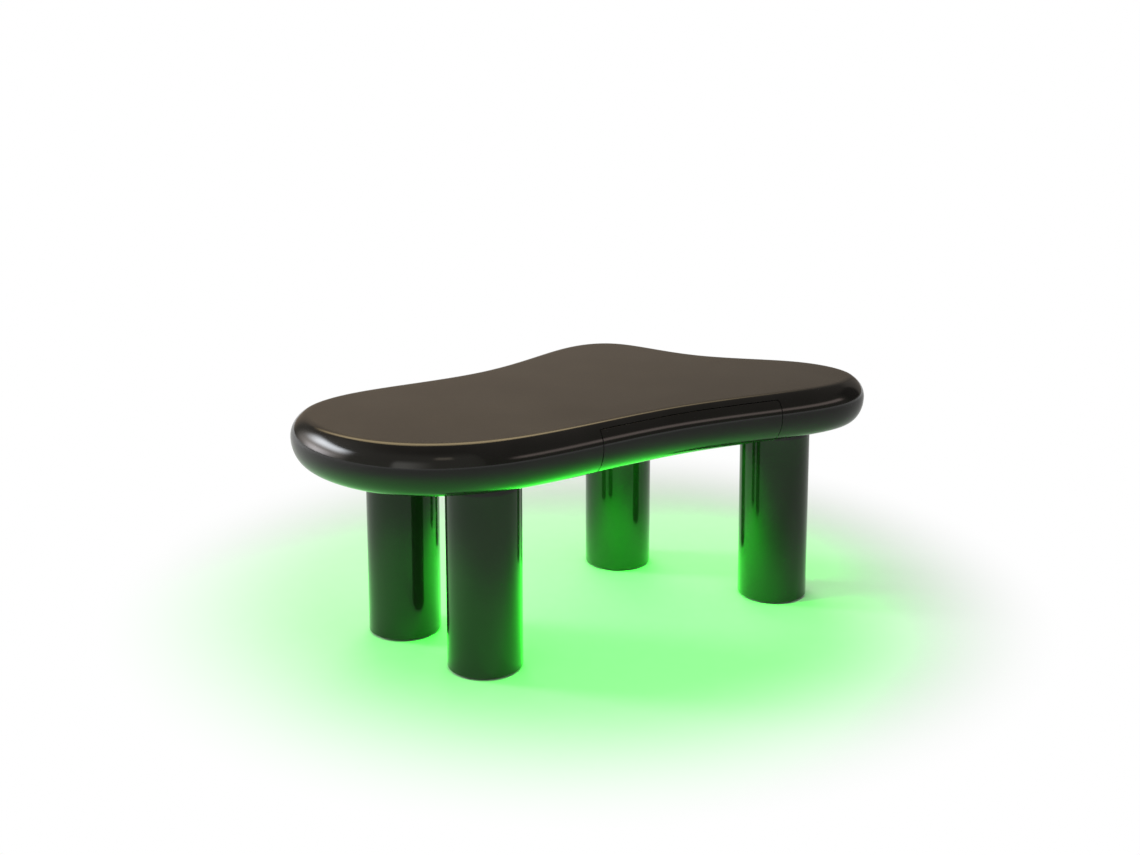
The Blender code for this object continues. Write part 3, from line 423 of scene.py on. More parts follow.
METALS = {
    "zinc_sheet": ((0.62, 0.63, 0.64, 1), (0.48, 0.49, 0.51, 1), 0.32, (8, 0.6, 8), 0.00002),
    "ball_steel": ((0.66, 0.66, 0.66, 1), (0.58, 0.58, 0.59, 1), 0.12, (3, 3, 3), 0.000004),
    "screw_zinc": ((0.50, 0.48, 0.42, 1), (0.36, 0.35, 0.31, 1), 0.30, (5, 5, 5), 0.00001),
    "nickel": ((0.62, 0.58, 0.52, 1), (0.54, 0.50, 0.45, 1), 0.20, (5, 5, 5), 0.000005),
}
zinc_sheet, ball_steel, screw_zinc, nickel = [make_metal(name, *look) for name, look in METALS.items()]
print("finishes made:", list(METALS))

# %% [markdown]
# ## Plastics and the light
# The controller's case and the foot discs are moulded in black with a fine grain. The tube's body
# and end caps are soft white silicone. The lens is milky silicone with the light behind it: the
# row of light chips shows through as slightly brighter spots, a little over sixteen millimetres
# apart. It is lit green at a plain strength, so that it reads as a colour. The light that the
# tube throws on the floor comes from lamps of the same shape, set up with the stage.


# %% Materials: moulded plastic, silicone and circuit board
def make_plastic(name, ior, dark, light, roughness, grains, relief):
    net = Finish(name, IOR=ior)
    grain = net.use(moulded_grain, Grains_per_metre=grains)
    wear = net.use(edge_wear, Radius=0.0004, Breakup=90.0)
    dust = net.use(settled_dust, Amount=0.2)["Mask"]
    pale = [min(1.0, channel * 1.6 + 0.01) for channel in light[:3]] + [1.0]
    net.coat(net.mix(grain["Shade"], dark, light), wear, 0.35, pale, dust, PLASTIC_DUST)
    net.set(Roughness=net.rescale(grain["Height"], 0.3, 0.7, roughness - 0.05, roughness + 0.07))
    net.roughen(grain["Height"], relief, 0.5, wear["Normal"])
    return net.material


def make_circuit_board():
    net = Finish("solder_mask", IOR=1.5)
    here = net.place()
    tracks = [net.calculate("GREATER_THAN", net.calculate("PINGPONG", net.times(along, 420.0), 1.0), 0.72)
              for along in net.axes(here)[:2]]
    blocks = net.calculate("GREATER_THAN", net.noise(here, 110.0, 0.0), 0.5)
    routed = net.times(net.calculate("MAXIMUM", *tracks), blocks)
    wear = net.use(edge_wear, Radius=0.0003, Breakup=200.0)
    colour = net.mix(routed, (0.012, 0.11, 0.04, 1), (0.03, 0.22, 0.08, 1))
    net.coat(colour, wear, 1.0, (0.4, 0.36, 0.2, 1))
    net.set(Roughness=net.rescale(routed, 0.0, 1.0, 0.38, 0.28))
    net.roughen(routed, 0.00003, 0.6, wear["Normal"])
    return net.material


black_plastic = make_plastic("black_plastic", 1.49, (0.014, 0.014, 0.014, 1), (0.022, 0.022, 0.022, 1),
                             0.48, 2600.0, 0.00004)
white_silicone = make_plastic("white_silicone", 1.41, (0.66, 0.68, 0.66, 1), (0.74, 0.75, 0.73, 1),
                              0.5, 700.0, 0.00003)
circuit_board = make_circuit_board()
print("finishes made:", black_plastic.name, white_silicone.name, circuit_board.name)

# %% Material: the lit lens
CHIP_PITCH = 1 / 60


def make_lens_finish():
    net = Finish("lit_lens", Roughness=0.35, IOR=1.41, Emission_Strength=1.1)
    along = net.axes(net.add("UVMap", uv_map="loop")[0])
    steps = net.calculate("DIVIDE", along["X"], CHIP_PITCH)
    from_chip = net.times(net.calculate("PINGPONG", steps, 0.5), 2.0)
    aside = net.calculate("ABSOLUTE", net.calculate("SUBTRACT", along["Y"], 0.5))
    spot = net.times(net.rescale(from_chip, 0.75, 0.0), net.rescale(net.times(aside, 2.0), 0.9, 0.1))
    milk = net.use(moulded_grain, Grains_per_metre=500.0)
    net.set(Base_Color=net.mix(milk["Shade"], (0.10, 0.62, 0.13, 1), (0.16, 0.72, 0.19, 1)),
            Emission_Color=net.mix(spot, (0.012, 0.50, 0.022, 1), (0.16, 0.98, 0.18, 1)))
    net.roughen(milk["Height"], 0.00002, 0.4)
    return net.material


lit_lens = make_lens_finish()
print("finish made:", lit_lens.name, "with a chip every", round(CHIP_PITCH * 1000, 1), "mm")

# %% [markdown]
# ## Helpers that build and settle meshes
# Almost every piece starts in one of three ways: rings of points joined one to the next (a
# loft), a flat outline given a thickness (a prism), or a profile spun round an axis (a turned
# piece). Cuts are Boolean modifiers. They are settled into the mesh at once, so the cutters can
# be thrown away and the piece stays a plain mesh.


# %% Lofts, prisms and turned pieces
def mesh_from(bm, name):
    bmesh.ops.recalc_face_normals(bm, faces=bm.faces)
    mesh = bpy.data.meshes.new(name)
    bm.to_mesh(mesh)
    bm.free()
    return mesh


def loft(name, rings, foot=True):
    """Join rings of like point counts, and cap the last one and, where it has a foot, the first."""
    bm = bmesh.new()
    rows = [[bm.verts.new(point) for point in ring] for ring in rings]
    count = len(rows[0])
    for first, second in zip(rows, rows[1:]):
        for index in range(count):
            after = (index + 1) % count
            bm.faces.new((first[index], first[after], second[after], second[index]))
    if foot:
        bm.faces.new(rows[0])
    bm.faces.new(rows[-1])
    return mesh_from(bm, name)


def prism(name, outline, start, end, axis="Z"):
    """A flat outline carried from start to end along an axis."""
    at = "XYZ".index(axis)
    return loft(name, [[(*point[:at], along, *point[at:]) for point in outline] for along in (start, end)])


def turned(name, profile, sides):
    """Spin a closed or axis-to-axis profile of (radius, height) round Z."""
    bm = bmesh.new()
    points = [bm.verts.new((radius, 0.0, height)) for radius, height in profile]
    edges = [bm.edges.new(pair) for pair in zip(points, points[1:])]
    if min(radius for radius, _ in profile) > 0:
        edges.append(bm.edges.new((points[-1], points[0])))
    bmesh.ops.spin(bm, geom=points + edges, cent=(0, 0, 0), axis=(0, 0, 1), angle=2 * math.pi,
                   steps=sides, use_merge=True)
    bmesh.ops.remove_doubles(bm, verts=bm.verts, dist=0.000001)
    return mesh_from(bm, name)


def arc(centre, radius, start, end, steps):
    """Points on an arc, angles in degrees."""
    angles = [math.radians(start + (end - start) * step / steps) for step in range(steps + 1)]
    x, y = centre
    return [(x + radius * math.cos(angle), y + radius * math.sin(angle)) for angle in angles]


def rounded_rectangle(left, low, right, high, radius, steps=6):
    corners = ((right - radius, low + radius, -90), (right - radius, high - radius, 0),
               (left + radius, high - radius, 90), (left + radius, low + radius, 180))
    return [point for x, y, start in corners for point in arc((x, y), radius, start, start + 90, steps)]


print("ready to loft, to carry an outline along and to turn")


# %% Join, copy and cut meshes
def joined(name, meshes, *finishes):
    """One mesh out of several, which are used up. Each face keeps the number of its finish."""
    bm = bmesh.new()
    for mesh in meshes:
        bm.from_mesh(mesh)
        bpy.data.meshes.remove(mesh)
    whole = mesh_from(bm, name)
    for finish in finishes:
        whole.materials.append(finish)
    return whole


def copies(name, mesh, places):
    """One mesh that holds a copy of another at each placing matrix."""
    placed = [mesh.copy() for _ in places]
    for copy, place in zip(placed, places):
        copy.transform(place)
    bpy.data.meshes.remove(mesh)
    return joined(name, placed)


def cut(mesh, *cutters, operation="DIFFERENCE"):
    """Cut a mesh by others and give back the settled result."""
    item, *tools = [put("cut", part) for part in (mesh, *cutters)]
    for tool in tools:
        boolean = item.modifiers.new("cut", "BOOLEAN")
        boolean.operation, boolean.solver, boolean.object = operation, "EXACT", tool
    bpy.context.view_layer.update()
    graph = bpy.context.evaluated_depsgraph_get()
    settled = bpy.data.meshes.new_from_object(item.evaluated_get(graph))
    for used in (item, *tools):
        bpy.data.objects.remove(used)
    return settled


print("ready to join, copy and cut")


# %% Put a finished piece on the table
def add_piece(name, mesh, finish, body, replaces=(), angle=30.0):
    """Show a mesh as a piece that rides on a body and may stand for some of the solids."""
    if not mesh.materials or mesh.materials[0] is None:
        mesh.materials.clear()
        mesh.materials.append(finish)
    mesh.shade_smooth()
    mesh.set_sharp_from_angle(angle=math.radians(angle))
    item = put(name, mesh)
    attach(item, body)
    if replaces:
        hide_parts(*replaces)
    return item


# %% [markdown]
# ## The pebble outline
# Seen from above, the table is a pebble without any straight side. Twelve corner points pull a
# closed B-spline, the smoothest curve that a few handles can steer. A ring at any inset is found
# by stepping in from that curve at right angles, so all rings of the rim run side by side.

# %% Outline
OUTLINE_CORNERS = (
    (-0.485, -0.176), (-0.276, -0.301), (0.075, -0.225), (0.392, -0.296),
    (0.512, -0.217), (0.488, -0.055), (0.314, 0.060), (0.285, 0.255),
    (0.147, 0.294), (-0.083, 0.147), (-0.357, 0.182), (-0.518, 0.081),
)
SOLID_POINTS = 8
FINE_POINTS = 32


def raw_outline(place):
    """Point and travel direction on the closed curve, with place counted in corners."""
    index, u = int(math.floor(place)), place - math.floor(place)
    weights = ((1 - u) ** 3 / 6, (3 * u ** 3 - 6 * u ** 2 + 4) / 6,
               (-3 * u ** 3 + 3 * u ** 2 + 3 * u + 1) / 6, u ** 3 / 6)
    slopes = (-(1 - u) ** 2 / 2, (3 * u ** 2 - 4 * u) / 2, (-3 * u ** 2 + 2 * u + 1) / 2, u ** 2 / 2)
    corners = [Vector(OUTLINE_CORNERS[(index + step) % len(OUTLINE_CORNERS)]) for step in range(4)]
    point = sum((corner * weight for corner, weight in zip(corners, weights)), Vector((0, 0)))
    along = sum((corner * slope for corner, slope in zip(corners, slopes)), Vector((0, 0)))
    return point, along.normalized()


def places_round(per_corner):
    return [step / per_corner for step in range(len(OUTLINE_CORNERS) * per_corner)]


coarse = [raw_outline(place)[0] for place in places_round(SOLID_POINTS)]
middle = Vector([(min(values) + max(values)) / 2 for values in zip(*coarse)])
slab_low, slab_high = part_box("table_top")


def outline_point(place, inset):
    """A point drawn inwards by the inset, about the middle, and kept inside the solid's box."""
    point, along = raw_outline(place)
    x, y = point + Vector((-along.y, along.x)) * inset - middle
    return min(max(x, slab_low.x), slab_high.x), min(max(y, slab_low.y), slab_high.y)


def outline_ring(inset, height):
    return [(*outline_point(place, inset), height) for place in places_round(FINE_POINTS)]


print("outline of", FINE_POINTS * len(OUTLINE_CORNERS), "points, middle", [round(v, 4) for v in middle])

# %% [markdown]
# ## The rim section
# Cut across, the rim is two quarter ellipses that meet at the widest line: a tight one above,
# which breaks into the flat top at a soft crease, and a fuller one below that rolls under. The
# shine on the rim shows any corner at once, so the section gets many steps, and the crease is a
# small curve of its own.

# %% Section
TABLE_HEIGHT, UNDERSIDE, WIDEST_HEIGHT = slab_high.z, slab_low.z, 0.364
UPPER_REACH, UPPER_RISE, LOWER_REACH = 0.044, 0.040, 0.036
CREASE_SOFTENING, UPPER_END = 0.009, 0.90
UPPER_STEPS, LOWER_STEPS, CREASE_STEPS = 24, 28, 14


def rim_section():
    """Inset and height from the flat top, over the crease and round to the underside."""
    crease_angle = math.asin((TABLE_HEIGHT - WIDEST_HEIGHT) / UPPER_RISE)
    upper = []
    for step in range(UPPER_STEPS + 1):
        angle = crease_angle * (1 - step / UPPER_STEPS) * UPPER_END
        height = WIDEST_HEIGHT + UPPER_RISE * math.sin(angle)
        upper.append(Vector((UPPER_REACH * (1 - math.cos(angle)), height)))
    corner = Vector((UPPER_REACH * (1 - math.cos(crease_angle)), TABLE_HEIGHT))
    start = corner + Vector((CREASE_SOFTENING, 0))
    crease = []
    for step in range(CREASE_STEPS):
        share = step / CREASE_STEPS
        crease.append(start * (1 - share) ** 2 + corner * (2 * share * (1 - share)) + upper[0] * share ** 2)
    lower = []
    for step in range(1, LOWER_STEPS + 1):
        angle = math.pi / 2 * step / LOWER_STEPS
        height = WIDEST_HEIGHT - (WIDEST_HEIGHT - UNDERSIDE) * math.sin(angle)
        lower.append((LOWER_REACH * (1 - math.cos(angle)), height))
    return [tuple(point) for point in crease + upper] + lower


section = rim_section()
print("rim section of", len(section), "points, crease", round(section[0][0] * 1000, 1),
      "mm in from the widest line")

# %% [markdown]
# ## The top
# The real top is a rim and a board glued up, carved, and sprayed in one piece, hollow below, with
# a ledge for the base panel. Here it is one loft that runs over the outside, back up the inside
# and closes under the board. Two cutters then open it for the drawer: a shallow mouth with small
# rounded corners that the front fits, and a deeper throat that the box passes.

# %% Top
CEILING, LEDGE = 0.382, 0.3293
REBATE_INSET, CAVITY_INSET = 0.050, 0.066
OPENING_LEFT, OPENING_RIGHT, OPENING_TOP = -0.092, 0.262, 0.392
FRONT_BACK_FACE, FRONT_CORNER = -0.190, 0.004
MOUTH_ROOM, THROAT_ROOM = 0.002, 0.030
CLEAR_FRONT, CLEAR_LOW, OVERSHOOT = -0.400, 0.260, 0.01
inner_section = [(REBATE_INSET, UNDERSIDE), (REBATE_INSET, LEDGE),
                 (CAVITY_INSET, LEDGE), (CAVITY_INSET, CEILING)]


def opening(grow, top):
    """The drawer front's outline, seen from the front, made larger all round."""
    return rounded_rectangle(OPENING_LEFT - grow, CLEAR_LOW, OPENING_RIGHT + grow, top, FRONT_CORNER)


def make_top():
    shell = loft("top_shell", [outline_ring(*step) for step in section + inner_section])
    mouth = prism("mouth", opening(0.0, OPENING_TOP), CLEAR_FRONT, FRONT_BACK_FACE + MOUTH_ROOM, "Y")
    foot = CLEAR_LOW - OVERSHOOT
    throat_outline = [(OPENING_LEFT, foot), (OPENING_RIGHT, foot),
                      (OPENING_RIGHT, CEILING), (OPENING_LEFT, CEILING)]
    throat = prism("throat", throat_outline, CLEAR_FRONT - OVERSHOOT, FRONT_BACK_FACE + THROAT_ROOM, "Y")
    return cut(shell, mouth, throat)


top_shell = add_piece("top_shell", make_top(), black_lacquer, "table", ("table_top",))
print("top:", len(top_shell.data.polygons), "faces")

# %% [markdown]
# ## The drawer front
# The front is a length of the same rim, cut free, so it is made by keeping only what lies inside
# the opening, less the width of the seams. A groove under its back edge takes the finger tips.

# %% Drawer front
SIDE_SEAM, TOP_SEAM = 0.0015, 0.0012
GROOVE_WIDTH, GROOVE_DEPTH, GROOVE_HEIGHT, GROOVE_CORNER = 0.130, 0.017, 0.016, 0.006
GROOVE_OVERSHOOT = 0.02


def make_drawer_front():
    rim = loft("drawer_front_face", [outline_ring(*step) for step in section])
    kept = prism("kept", opening(-SIDE_SEAM, OPENING_TOP - TOP_SEAM), CLEAR_FRONT, FRONT_BACK_FACE, "Y")
    front = cut(rim, kept, operation="INTERSECT")
    across = (OPENING_LEFT + OPENING_RIGHT) / 2
    finger_outline = rounded_rectangle(FRONT_BACK_FACE - GROOVE_DEPTH, UNDERSIDE - GROOVE_OVERSHOOT,
                                       FRONT_BACK_FACE + GROOVE_OVERSHOOT, UNDERSIDE + GROOVE_HEIGHT,
                                       GROOVE_CORNER)
    groove = prism("groove", finger_outline, across - GROOVE_WIDTH / 2, across + GROOVE_WIDTH / 2, "X")
    return cut(front, groove)


drawer_face = add_piece("drawer_front_face", make_drawer_front(), black_lacquer, "drawer",
                        ("drawer_front",))
print("drawer front:", len(drawer_face.data.polygons), "faces, seams", SIDE_SEAM * 1000, "mm wide")

# %% [markdown]
# ## The legs
# Each leg is a turned cylinder, so its profile is spun round an upright axis. Both ends have a
# small rounded edge, the underside is recessed for a foot disc, and a felt pad keeps it off the
# floor. The pad's rim bulges slightly, as soft felt does under load, and it is never quite round.

# %% Legs and felt pads
LEG_NAMES = ("back_left", "front_left", "back_right", "front_right")
LEG_EDGE, LEG_SIDES, FOOT_ROOM, FOOT_DEPTH = 0.0015, 128, 0.0553, 0.0073
FELT_SIDES, FELT_FLAT, FELT_SHRINK, FUZZ_REACH, FUZZ_PER_METRE = 72, 0.6, 0.002, 0.0002, 400


def make_leg(side):
    low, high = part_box("leg_" + side)
    centre = (low + high) / 2
    radius = (high.x - low.x) / 2
    inner = radius - LEG_EDGE
    profile = [(0, high.z), *arc((inner, high.z - LEG_EDGE), LEG_EDGE, 90, 0, 4),
               *arc((inner, low.z + LEG_EDGE), LEG_EDGE, 0, -90, 4),
               (FOOT_ROOM, low.z), (FOOT_ROOM, low.z + FOOT_DEPTH), (0, low.z + FOOT_DEPTH)]
    mesh = turned("turned_leg_" + side, profile, LEG_SIDES)
    mesh.transform(Matrix.Translation((centre.x, centre.y, 0)))
    return add_piece("turned_leg_" + side, mesh, black_lacquer, "table", ("leg_" + side,))


def make_felt_pad(side):
    low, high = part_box("felt_pad_" + side)
    centre = (low + high) / 2
    thick = high.z - low.z
    radius = (high.x - low.x) / 2 - thick / 2
    rim = arc((radius, low.z + thick / 2), thick / 2, 90, -90, 6)
    flat = radius * FELT_FLAT
    profile = [(0, high.z), (flat, high.z), *rim, (flat, low.z), (0, low.z)]
    mesh = turned("pressed_felt_" + side, profile, FELT_SIDES)
    for vertex in mesh.vertices:
        fuzz = noise.noise(vertex.co * FUZZ_PER_METRE) * FUZZ_REACH
        vertex.co.x *= 1 + fuzz / radius - FELT_SHRINK
        vertex.co.y *= 1 + fuzz / radius - FELT_SHRINK
    mesh.transform(Matrix.Translation((centre.x, centre.y, 0)))
    return add_piece("pressed_felt_" + side, mesh, wool_felt, "table", ("felt_pad_" + side,))


legs = [make_leg(side) for side in LEG_NAMES]
pads = [make_felt_pad(side) for side in LEG_NAMES]
print(len(legs), "legs,", round(legs[0].dimensions.x * 1000), "mm across, and", len(pads), "felt pads")

# %% [markdown]
# ## The base panel
# The board that closes the top follows the same outline, a hair inside the ledge. It has
# countersunk holes for the screws that hold it, and a notch at the front where the drawer passes.

# %% Base panel
PANEL_LOW, PANEL_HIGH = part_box("base_panel")[0].z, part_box("base_panel")[1].z
PANEL_SLIP, NOTCH_ROOM, NOTCH_BEHIND, NOTCH_CORNER = 0.0003, 0.004, 0.001, 0.003
PANEL_SCREW_INSET = 0.058
PANEL_SCREW_PLACES = (0.45, 2.5, 3.4, 4.9, 6.3, 7.5, 8.4, 10.3)
HEAD_RADIUS, HEAD_DEPTH, SHANK_RADIUS, HEAD_SLIP = 0.0044, 0.0028, 0.0021, 0.0002


def make_base_panel():
    outline = [outline_point(place, REBATE_INSET + PANEL_SLIP) for place in places_round(FINE_POINTS)]
    panel = prism("panel_board", outline, PANEL_LOW, PANEL_HIGH)
    below, above = PANEL_LOW - OVERSHOOT, PANEL_HIGH + OVERSHOOT
    notch_outline = rounded_rectangle(OPENING_LEFT - NOTCH_ROOM, CLEAR_FRONT, OPENING_RIGHT + NOTCH_ROOM,
                                      FRONT_BACK_FACE + NOTCH_BEHIND, NOTCH_CORNER)
    notch = prism("notch", notch_outline, below, above)
    drill = turned("drill", [(0, above), (SHANK_RADIUS, above), (SHANK_RADIUS, PANEL_LOW + HEAD_DEPTH),
                             (HEAD_RADIUS + HEAD_SLIP, PANEL_LOW), (HEAD_RADIUS + HEAD_SLIP, below),
                             (0, below)], 24)
    holes = copies("holes", drill, [Matrix.Translation((*outline_point(place, PANEL_SCREW_INSET), 0))
                                    for place in PANEL_SCREW_PLACES])
    return cut(panel, notch, holes)


add_piece("panel_board", make_base_panel(), painted_board, "table", ("base_panel",))
print("base panel", round((PANEL_HIGH - PANEL_LOW) * 1000, 1), "mm thick with",
      len(PANEL_SCREW_PLACES), "holes")

# %% [markdown]
# ## Screws
# All the screws are cross-headed. One function turns the head and shank, and sinks a tapered
# cross into the head with a cutter of two crossed blades. The screws of a set are turned by
# different amounts, because a real screw stops where it is tight. Screws that hold the same
# thing are one piece. The base panel's and the slides' screws exist only here, because they are
# too small to matter to how the table moves.

# %% Screw maker
HEAD_EDGE, PAN_EDGE, SCREW_POINT, SHANK_SHARE, SCREW_SIDES = 0.0003, 0.0006, 0.003, 0.43, 28
CROSS_REACH, CROSS_BLADE, CROSS_DEPTH = 0.62, 0.16, 0.6
CROSS_MOUTH, CROSS_FLOOR = (-0.001, 1.15), 0.55
FIRST_TURN, TURN_STEP = 0.3, 0.7
FACING_FRONT = Matrix.Rotation(math.radians(90), 4, "X")


def make_screw(name, head_radius, head_height, shank_radius, length, pan_head=False):
    """A screw with its head's outer face at height 0, pointing up +Z."""
    if pan_head:
        head = [(0, 0), *arc((head_radius - PAN_EDGE, PAN_EDGE), PAN_EDGE, -90, 0, 4),
                (head_radius, head_height), (shank_radius, head_height)]
    else:
        head = [(0, 0), (head_radius - HEAD_EDGE, 0), (head_radius, HEAD_EDGE), (shank_radius, head_height)]
    taper = min(SCREW_POINT, (length - head_height) / 2)
    body = turned(name, head + [(shank_radius, length - taper), (0, length)], SCREW_SIDES)
    reach, blade = head_radius * CROSS_REACH, head_radius * CROSS_BLADE
    blades = []
    for wide, deep in ((reach, blade), (blade, reach)):
        corners = ((-wide, -deep), (wide, -deep), (wide, deep), (-wide, deep))
        rings = [[(x * share, y * share, z) for x, y in corners]
                 for z, share in (CROSS_MOUTH, (head_height * CROSS_DEPTH, CROSS_FLOOR))]
        blades.append(loft("blade", rings))
    return cut(body, *blades)


def pan_screws_for(names, piece, body, head_height):
    """Stand-ins for the screws that are solids already, each at its solid's place."""
    placed = []
    for turn, name in enumerate(names):
        low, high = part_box(name)
        centre, spread = (low + high) / 2, high - low
        radius = spread.x / 2
        length = max(spread.y, spread.z)
        if spread.y > spread.z:
            start = Matrix.Translation((centre.x, high.y, centre.z)) @ FACING_FRONT
        else:
            start = Matrix.Translation((centre.x, centre.y, low.z))
        mesh = make_screw(name, radius, head_height, radius * SHANK_SHARE, length, pan_head=True)
        mesh.transform(start @ Matrix.Rotation(TURN_STEP * turn + FIRST_TURN, 4, "Z"))
        placed.append(mesh)
    return add_piece(piece, joined(piece, placed), screw_zinc, body, names)


# %% Screws in the base panel, the drawer front and the case
PANEL_SCREW_LENGTH, SHANK_SLIP = 0.024, 0.0001
FRONT_HEAD_HEIGHT, EAR_HEAD_HEIGHT = 0.0020, 0.0018
panel_screw = make_screw("panel_screws", HEAD_RADIUS, HEAD_DEPTH - HEAD_SLIP, SHANK_RADIUS - SHANK_SLIP,
                         PANEL_SCREW_LENGTH)
panel_screw_places = [Matrix.Translation((*outline_point(place, PANEL_SCREW_INSET), PANEL_LOW + HEAD_SLIP))
                      @ Matrix.Rotation(place, 4, "Z") for place in PANEL_SCREW_PLACES]
panel_screws = copies("panel_screws", panel_screw, panel_screw_places)
add_piece("panel_screws", panel_screws, screw_zinc, "table")
pan_screws_for(("drawer_front_screw_left", "drawer_front_screw_right"), "front_screws", "drawer",
               FRONT_HEAD_HEIGHT)
pan_screws_for(("controller_screw_left", "controller_screw_right"), "ear_screws", "table",
               EAR_HEAD_HEIGHT)
print("screws made:", len(PANEL_SCREW_PLACES), "in the base panel, four in the drawer front and the case")

# %% [markdown]
# ## The ball slides
# A channel is screwed to each cheek, a smaller runner to each side of the drawer, and the balls
# roll between them in a thin cage. The channel and runner keep their solids, with the folded
# edges eased. The cage is made again with round balls, each in a small pressed collar. The
# screws of the runners can be seen once the drawer is out.

# %% Cages with their balls
BALL_RADIUS, BALL_ACROSS, BALL_UP, BALLS_PER_ROW, BALL_PITCH = 0.0023, 0.0050, 0.0095, 5, 0.0125
CAGE_SHEET, CAGE_ACROSS, CAGE_EDGE = 0.0007, 0.0016, 0.0079
COLLAR = [(0.0021, 0.0006), (0.00265, 0.0006), (0.0028, -0.0006), (0.0021, -0.0006)]
SIDE_WALLS = {"left": (-0.090, 1), "right": (0.260, -1)}


def make_cage(side):
    wall, hand = SIDE_WALLS[side]
    low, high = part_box("ball_cage_" + side)
    middle_y, middle_z = (low.y + high.y) / 2, (low.z + high.z) / 2
    rise, half = BALL_UP + CAGE_SHEET / 2, BALLS_PER_ROW * BALL_PITCH / 2
    inner, web = BALL_UP - CAGE_SHEET / 2, CAGE_ACROSS + CAGE_SHEET
    fold = [(CAGE_ACROSS, -rise), (CAGE_EDGE, -rise), (CAGE_EDGE, -inner), (web, -inner),
            (web, inner), (CAGE_EDGE, inner), (CAGE_EDGE, rise), (CAGE_ACROSS, rise)]
    strip = prism("strip", [(wall + hand * across, middle_z + up) for across, up in fold],
                  middle_y - half, middle_y + half, "Y")
    bm = bmesh.new()
    bmesh.ops.create_icosphere(bm, subdivisions=3, radius=BALL_RADIUS)
    for face in bm.faces:
        face.material_index = 1
    ball = mesh_from(bm, "ball")
    steps = [(index - (BALLS_PER_ROW - 1) / 2) * BALL_PITCH for index in range(BALLS_PER_ROW)]
    places = [Matrix.Translation((wall + hand * BALL_ACROSS, middle_y + along, middle_z + up))
              for along in steps for up in (BALL_UP, -BALL_UP)]
    parts = [strip, copies("collars", turned("collar", COLLAR, 24), places), copies("balls", ball, places)]
    name = "cage_and_balls_" + side
    mesh = joined(name, parts, zinc_sheet, ball_steel)
    return add_piece(name, mesh, zinc_sheet, "cage_" + side, ("ball_cage_" + side,), 40.0)


cages = [make_cage(side) for side in SIDE_WALLS]
print("cages:", [cage.name for cage in cages], "with", 2 * BALLS_PER_ROW, "balls each")

# %% Screws in the runners
SLIDE_FRONT, SLIDE_MIDDLE, RUNNER_WEB = -0.186, 0.355, 0.0091
RUNNER_SCREW_PLACES = (0.016, 0.048, 0.112, 0.190)
RUNNER_HEAD_RADIUS, RUNNER_HEAD_HEIGHT, RUNNER_SHANK_RADIUS, RUNNER_SHANK = 0.0034, 0.0016, 0.0017, 0.0012
RUNNER_TURN_PER_METRE = 40


def make_runner_screws(side):
    wall, hand = SIDE_WALLS[side]
    facing = Matrix.Rotation(math.radians(90 * hand), 4, "Y")
    screw = make_screw("runner_screw", RUNNER_HEAD_RADIUS, RUNNER_HEAD_HEIGHT, RUNNER_SHANK_RADIUS,
                       RUNNER_HEAD_HEIGHT + RUNNER_SHANK)
    across = wall + hand * (RUNNER_WEB - RUNNER_HEAD_HEIGHT)
    places = [Matrix.Translation((across, SLIDE_FRONT + along, SLIDE_MIDDLE)) @ facing
              @ Matrix.Rotation(along * RUNNER_TURN_PER_METRE, 4, "Z") for along in RUNNER_SCREW_PLACES]
    name = "runner_screws_" + side
    return add_piece(name, copies(name, screw, places), screw_zinc, "drawer")


runner_screws = [make_runner_screws(side) for side in SIDE_WALLS]
print("runner screws, four a side:", [len(piece.data.polygons) for piece in runner_screws], "faces")

# %% [markdown]
# ## The light tube
# A soft U-shaped body grips a strip of light chips, and a rounded milky lens closes it from
# below. Both are a section swept round a loop with rounded corners, drawn with many more steps
# than the solids. The lens also gets a UV map that runs along the loop, so the spots of light
# can be spaced evenly round the corners too.

# %% Sweep round the loop
LOOP_CENTRE, LOOP_HALF_LENGTH, LOOP_HALF_WIDTH, LOOP_CORNER = (0.045, -0.058), 0.200, 0.100, 0.065
LOOP_END_LEFT, LOOP_END_RIGHT = -0.030, -0.018
ARC_STEPS = 20


def loop_stations(offset):
    """Points round the loop, offset outwards, from one end of the tube to the other."""
    (cx, cy), length, width = LOOP_CENTRE, LOOP_HALF_LENGTH + offset, LOOP_HALF_WIDTH + offset
    corners = rounded_rectangle(cx - length, cy - width, cx + length, cy + width,
                                LOOP_CORNER + offset, ARC_STEPS)
    half_way = 2 * (ARC_STEPS + 1)
    start, end = (LOOP_END_LEFT, cy + width), (LOOP_END_RIGHT, cy + width)
    return [start, *corners[half_way:], *corners[:half_way], end]


def swept(name, outline):
    """A section carried round the loop, with a UV map that gives the way along it in metres."""
    tracks = [[(x, y, height) for x, y in loop_stations(across)] for across, height in outline]
    mesh = loft(name, list(zip(*tracks)))
    centre_line = [Vector(point) for point in loop_stations(0.0)]
    lengths = [0.0]
    for first, second in zip(centre_line, centre_line[1:]):
        lengths.append(lengths[-1] + (second - first).length)
    layer = mesh.uv_layers.new(name="loop")
    half = max(abs(across) for across, _ in outline)
    for polygon in mesh.polygons:
        for corner in polygon.loop_indices:
            row, column = divmod(mesh.loops[corner].vertex_index, len(outline))
            layer.data[corner].uv = (lengths[row], 0.5 + outline[column][0] / (2 * half))
    return mesh, lengths[-1]


